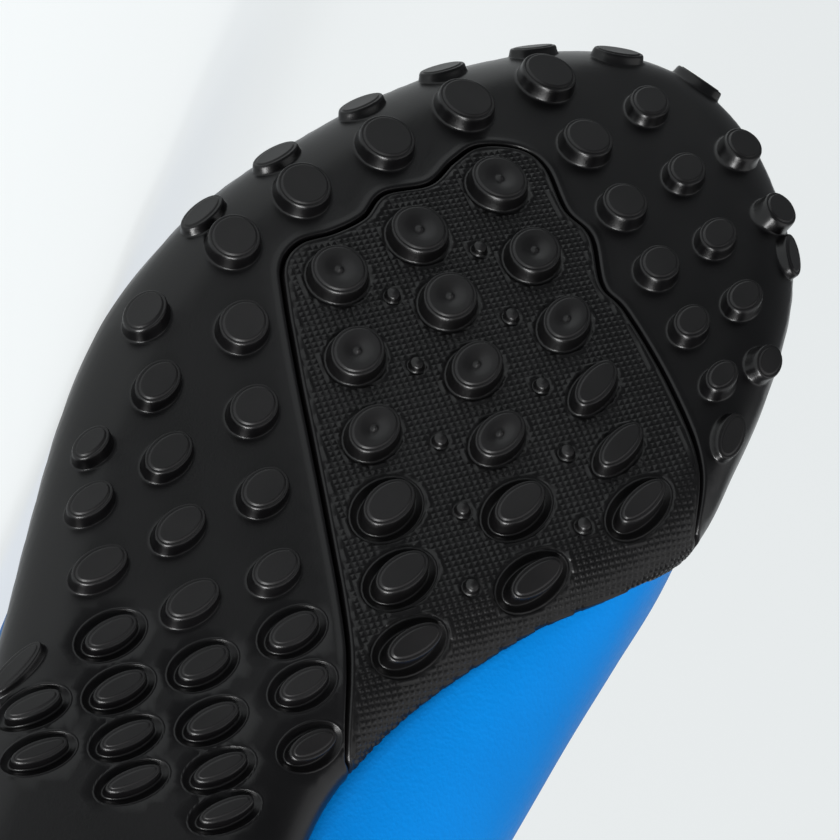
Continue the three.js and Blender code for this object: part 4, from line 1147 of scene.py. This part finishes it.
def stitch_mesh():
    """Two rows of stitches round the throat, as many small thread humps in one mesh."""
    verts = []
    angle = np.linspace(0, 2 * np.pi, thread_sides, endpoint=False)[:, None]
    for away in (stitch_inset, stay_width - stay_stitch_inset):
        u, w = round_throat(60, away)
        places, outs = off_skin(u, w, np.full(len(u), stay_height)), skin_normal(u, w)
        at = walked(places)
        read = lambda spot, rows: np.array([np.interp(spot, at, rows[:, k]) for k in range(3)])
        for start in np.arange(1.0, at[-1] - stitch_length, stitch_pitch):
            for share, fat in STITCH:
                spot = start + share * stitch_length
                here, out = read(spot, places), unit(read(spot, outs))
                side = unit(np.cross(read(spot + 0.3, places) - here, out))
                lift = 0.3 * math.sin(math.pi * share) - 0.12
                verts.append(here + out * lift + fat * thread_radius * (np.cos(angle) * side + np.sin(angle) * out))
    verts = np.array(verts).reshape(-1, len(STITCH) * thread_sides, 3)
    hump = quads(numbered(np.zeros((len(STITCH), thread_sides)), closed=True))
    faces = np.vstack([hump + k * verts.shape[1] for k in range(len(verts))])
    return verts.reshape(-1, 3), faces


def ring_mesh(middle, out, along, radius):
    """A small ring pressed on the skin, as round an eyelet."""
    big, small = (np.linspace(0, 2 * np.pi, n, endpoint=False) for n in (28, 8))
    arm = np.cos(big)[:, None] * along + np.sin(big)[:, None] * np.cross(out, along)
    p = (middle + arm[:, None] * (radius + ring_tube * np.cos(small))[None, :, None]
         + out * (0.6 * ring_tube * np.sin(small))[None, :, None])
    closed = numbered(p, closed=True)
    v = p.reshape(-1, 3)
    return v, outward(v - v.mean(0), quads(np.concatenate([closed, closed[:1]])))


def eyelet_rings():
    verts, faces = [], []
    for x in lace_places:
        reach = float(out_from_ridge(x, throat_half(x) + eyelet_inset))
        for w in (-reach, reach):
            u = float(share_at(x, w))
            out, along = skin_normal(u, w), skin(u + 0.002, w) - skin(u, w)
            along = unit(along - out * (along @ out))
            v, f = ring_mesh(off_skin(u, w, stay_height), out, along, eyelet_diameter / 2 + ring_clearance)
            faces.append(f + len(v) * len(verts))
            verts.append(v)
    return np.vstack(verts), np.vstack(faces)


# The lining's way down from the opening's edge, and how far it stands off the wall there
LINING = np.array([(0.0, 0.2), (0.3, 1.1), (1.0, 1.9), (2.5, 2.7), (5.0, 3.4), (9.0, 3.6), (14.0, 3.4), (20.0, 2.8),
                   (27.0, 1.8), (36.0, 1.2), (46.0, 1.0), (56.0, 0.8)])


def lining_mesh():
    """Padded cloth inside the collar and throat, from just under their edge down the wall; thin at the throat."""
    found = []
    span, climb = np.linspace(0.004, 0.62, 220), np.linspace(0, 1, 60)
    for side in (-1, 1):
        share = opening_share(span, side)
        u, share = span[share < closed_share], share[share < closed_share]
        line = skin(u[:, None], side * (1 - climb[None] * share[:, None]))
        gone = np.cumsum(np.linalg.norm(np.diff(line[:, ::-1], axis=1), axis=2), axis=1)
        gone = np.concatenate([np.zeros((len(u), 1)), gone], axis=1)
        back = np.array([np.interp(LINING[:, 0], g, 1 - climb) for g in gone])
        w = side * (1 - back * share[:, None])
        thin = ease((collar_front + 14 - line[:, -1, 0]) / 30)[:, None] * 0.8 + 0.2
        found.append(off_skin(u[:, None], w, -wall - LINING[:, 1][None] * thin))
    p = np.concatenate([found[0][::-1], found[1]], axis=0)
    return p.reshape(-1, 3), quads(numbered(p))


# Materials
class Look:
    """A material, and short ways to give it nodes. What doesn't vary is set on the shader itself."""

    def __init__(self, name, colour, roughness, specular=0.5):
        self.material = bpy.data.materials.new(name)
        self.material.use_nodes = True
        self.tree = self.material.node_tree
        self.shader = self.tree.nodes["Principled BSDF"]
        for socket, value in (("Base Color", (*colour, 1)), ("Roughness", roughness),
                              ("Specular IOR Level", specular)):
            self.shader.inputs[socket].default_value = value

    def node(self, kind, values, source=None, into=None):
        """A node with values on its inputs, and source joined to its input into."""
        made = self.tree.nodes.new(kind)
        for socket, value in values.items():
            made.inputs[socket].default_value = value
        if source is not None:
            self.tree.links.new(source, made.inputs[into])
        return made

    def texture(self, kind, output, values):
        """A texture in the object's own space."""
        coords = self.node("ShaderNodeTexCoord", {})
        return self.node(kind, values, coords.outputs["Object"], "Vector").outputs[output]

    def noise(self, scale, detail, rough):
        return self.texture("ShaderNodeTexNoise", "Fac", {"Scale": scale, "Detail": detail, "Roughness": rough})

    def colour(self, source, first, last, into="Base Color"):
        """Colours from source: first and last are each a place and a colour."""
        made = self.node("ShaderNodeValToRGB", {}, source, "Fac")
        for e, (at, c) in zip(made.color_ramp.elements, (first, last)):
            e.position, e.color = at, (*c, 1)
        self.tree.links.new(made.outputs["Color"], self.shader.inputs[into])

    def roughness(self, source, low, high):
        made = self.node("ShaderNodeMapRange", {"To Min": low, "To Max": high}, source, "Value")
        self.tree.links.new(made.outputs["Result"], self.shader.inputs["Roughness"])

    def bump(self, *heights):
        """Stacked bumps: source, strength and distance in metres of each."""
        last = None
        for source, strength, distance in heights:
            made = self.node("ShaderNodeBump", {"Strength": strength, "Distance": distance}, source, "Height")
            if last is not None:
                self.tree.links.new(last, made.inputs["Normal"])
            last = made.outputs["Normal"]
        for socket in ("Normal", "Coat Normal"):
            self.tree.links.new(last, self.shader.inputs[socket])


def rubber_material(name, low, high, roughness):
    look = Look(name, low, roughness, specular=0.38)
    broad, fine = look.noise(60.0, 4.0, 0.55), look.noise(2600.0, 2.0, 0.6)
    look.colour(broad, (0.3, low), (0.75, high))
    look.roughness(broad, roughness - 0.05, roughness + 0.07)
    look.bump((fine, 0.12, 0.0001))
    return look.material


def synthetic_material():
    low, high = (0.0, 0.112, 0.36), (0.0, 0.140, 0.43)
    look = Look("blue_synthetic", low, 0.5, specular=0.08)
    broad, fine = look.noise(28.0, 3.0, 0.5), look.noise(900.0, 4.0, 0.65)
    grain = look.texture("ShaderNodeTexVoronoi", "Distance", {"Scale": 1500.0})
    look.colour(broad, (0.25, low), (0.8, high))
    look.roughness(fine, 0.40, 0.66)
    look.bump((grain, 0.25, 0.00012), (fine, 0.35, 0.00015))
    return look.material


def cloth_material(name, low, high, scale):
    look = Look(name, low, 0.85)
    weave = look.texture("ShaderNodeTexWave", "Fac", {"Scale": scale, "Distortion": 1.5})
    fine = look.noise(700.0, 3.0, 0.6)
    look.colour(fine, (0.3, low), (0.7, high))
    look.roughness(fine, 0.80, 0.93)
    look.bump((weave, 0.3, 0.0002), (fine, 0.4, 0.0002))
    look.shader.inputs["Sheen Weight"].default_value = 0.15
    return look.material


def paper_material():
    """Pale paper that glows, painted light that keeps the shoe's shadow soft; on the wall the glow fades towards the
    heel side into a painted dark patch.
    """
    # pale_glow is painted light over the paper; dim_glow is a painted dark patch on the wall for the rubber to
    # reflect.
    pale_glow, dim_glow, body = (0.70, 0.725, 0.73), (0.05, 0.052, 0.053), (0.2, 0.21, 0.212)
    look = Look("glowing_paper", body, 0.9, specular=0.1)
    coords = look.node("ShaderNodeTexCoord", {})
    parts = look.node("ShaderNodeSeparateXYZ", {}, coords.outputs["Object"], "Vector")
    both = look.node("ShaderNodeMath", {})
    both.operation = "MULTIPLY"
    for k, (source, low, high) in enumerate((("X", -0.5, 0.5), ("Y", 0.7, 1.3))):
        fade = look.node("ShaderNodeMapRange", {"From Min": low, "From Max": high}, parts.outputs[source], "Value")
        fade.interpolation_type = "SMOOTHSTEP"
        look.tree.links.new(fade.outputs["Result"], both.inputs[k])
    look.colour(both.outputs["Value"], (0.0, pale_glow), (1.0, dim_glow), into="Emission Color")
    look.shader.inputs["Emission Strength"].default_value = 1.0
    return look.material


rubber = rubber_material("black_rubber", (0.0009, 0.0008, 0.0010), (0.0024, 0.0022, 0.0025), 0.30)
tip_rubber = rubber_material("stud_tip_rubber", (0.0024, 0.0022, 0.0024), (0.0065, 0.006, 0.0063), 0.40)
waffle_rubber = rubber_material("textured_rubber", (0.0010, 0.0009, 0.0010), (0.0026, 0.0024, 0.0026), 0.33)
synthetic = synthetic_material()
tongue_cloth = cloth_material("tongue_cloth", (0.0, 0.055, 0.19), (0.001, 0.085, 0.27), 500.0)
footbed = cloth_material("footbed_cloth", (0.012, 0.013, 0.015), (0.03, 0.032, 0.036), 650.0)
lace_cloth = cloth_material("lace_cloth", (0.008, 0.009, 0.011), (0.022, 0.024, 0.028), 900.0)


def link(name, data):
    o = bpy.data.objects.new(name, data)
    bpy.context.scene.collection.objects.link(o)
    return o


def add(name, verts, faces, material, slot, node=None, tips=None):
    """A piece of the shoe; tips says which faces are the ends of studs."""
    mesh = bpy.data.meshes.new(name)
    mesh.from_pydata(to_frame(verts).tolist(), [], faces.tolist())
    mesh.polygons.foreach_set("use_smooth", np.full(len(mesh.polygons), True))
    mesh.materials.append(material)
    if tips is not None:
        mesh.materials.append(tip_rubber)
        mesh.polygons.foreach_set("material_index", tips.astype(np.int32))
    mesh.validate()
    mesh.update()
    o = link(name, mesh)
    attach(o, "root")
    if node:
        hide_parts(node)
    return o


def closed_out(mesh):
    """A closed mesh with its faces facing out."""
    v, f = mesh
    return v, outward(v, f)


v, f, tips = outsole_mesh()
add("outsole_shell", v, f, rubber, "rubber", "outsole", tips)
v, f, tips = insert_mesh()
add("forefoot_insert_shell", v, f, waffle_rubber, "textured_rubber", "forefoot_insert", tips)
add("upper_shell", *closed_out(upper_mesh()), synthetic, "synthetic", "upper")
add("eyestay", *trim_mesh(*eyestay_grid(46)), synthetic, "synthetic")
add("backstay", *trim_mesh(*backstay_grid()), synthetic, "synthetic")
add("stitches", *closed_out(stitch_mesh()), lace_cloth, "lace")
lining = add("collar_lining", *lining_mesh(), tongue_cloth, "tongue_cloth")
add("eyelet_rings", *eyelet_rings(), rubber, "rubber")
tongue = add("tongue_pad", *closed_out(tongue_mesh()), tongue_cloth, "tongue_cloth", "tongue")
add("insole_footbed", *closed_out(insole_mesh()), footbed, "footbed", "insole")
for k, x in enumerate(lace_places, start=1):
    add(f"lace_{k}", *closed_out(lace_bar_mesh(x)), lace_cloth, "lace", f"lace_bar_{k}")


# Camera at the photo's angle to the shoe; its scale is the photo's dots for each mm
camera_distance, looked_at, camera_scale = 722.0, np.array([183.4, 0.0, 0.0]), 6.4
photo_width, sensor_width = 840, 36.0
view_right, view_up = np.array([0.4165, 0.8904, -0.1838]), np.array([0.7372, -0.4490, -0.5049])
view_forward = unit(np.cross(view_up, view_right))
view_right = unit(view_right)
view_up = np.cross(view_right, view_forward)
camera_data = bpy.data.cameras.new("camera")
camera = link("camera", camera_data)
turn = np.stack([AXES @ view_right, AXES @ view_up, -(AXES @ view_forward)], 1)
place = to_frame(looked_at - camera_distance * view_forward)
camera.matrix_world = Matrix([[*turn[i], place[i]] for i in range(3)] + [[0, 0, 0, 1]])
camera_data.sensor_width = sensor_width
camera_data.lens = camera_scale * camera_distance / photo_width * sensor_width
camera_data.clip_start, camera_data.clip_end = 0.01, 20.0
bpy.context.scene.camera = camera


# Floor, backdrop and light, in metres
cove_depth, cove_width, cove_height, cove_radius, cove_back = 3.0, 5.0, 3.0, 1.2, 1.2


def cove():
    """Floor that curves up into a backdrop behind the shoe."""
    bend = np.linspace(0, np.pi / 2, 24)
    path = [(-cove_depth, 0.0), *zip(cove_back + cove_radius * np.sin(bend), cove_radius * (1 - np.cos(bend))),
            (cove_back + cove_radius, cove_height)]
    verts = [(side * cove_width / 2, y, z) for y, z in path for side in (-1, 1)]
    mesh = bpy.data.meshes.new("cove")
    mesh.from_pydata(verts, [], [(k, k + 1, k + 3, k + 2) for k in range(0, len(verts) - 2, 2)])
    mesh.polygons.foreach_set("use_smooth", np.full(len(mesh.polygons), True))
    mesh.materials.append(paper_material())
    return link("cove", mesh)


def area_light(name, direction, distance, size, power):
    """Round lamp on the side of the shoe that direction gives."""
    way = unit(direction)
    data = bpy.data.lights.new(name, "AREA")
    data.shape, data.size, data.energy = "DISK", size, power
    o = link(name, data)
    o.location = Vector(to_frame(looked_at) + way * distance)
    o.rotation_euler = Vector(way).to_track_quat("Z", "Y").to_euler()
    return o


def from_view(right, up, towards):
    """A direction in the camera's view."""
    return AXES @ (right * view_right + up * view_up - towards * view_forward)


stage = [
    cove(),
    area_light("overhead", np.array([0.0, 0.0, 1.0]), 1.9, 2.4, 10.0),
    area_light("low_front", from_view(0.0, -0.40, 0.92), 1.3, 0.55, 17.0),
    area_light("low_side", from_view(0.0, -0.80, 0.60), 1.3, 0.55, 21.0),
]
world = bpy.data.worlds.new("room")
world.use_nodes = True
world.node_tree.nodes["Background"].inputs["Color"].default_value = (0.92, 0.96, 1.0, 1)
world.node_tree.nodes["Background"].inputs["Strength"].default_value = 0.16
bpy.context.scene.world = world
bpy.context.scene.view_settings.view_transform = "Standard"
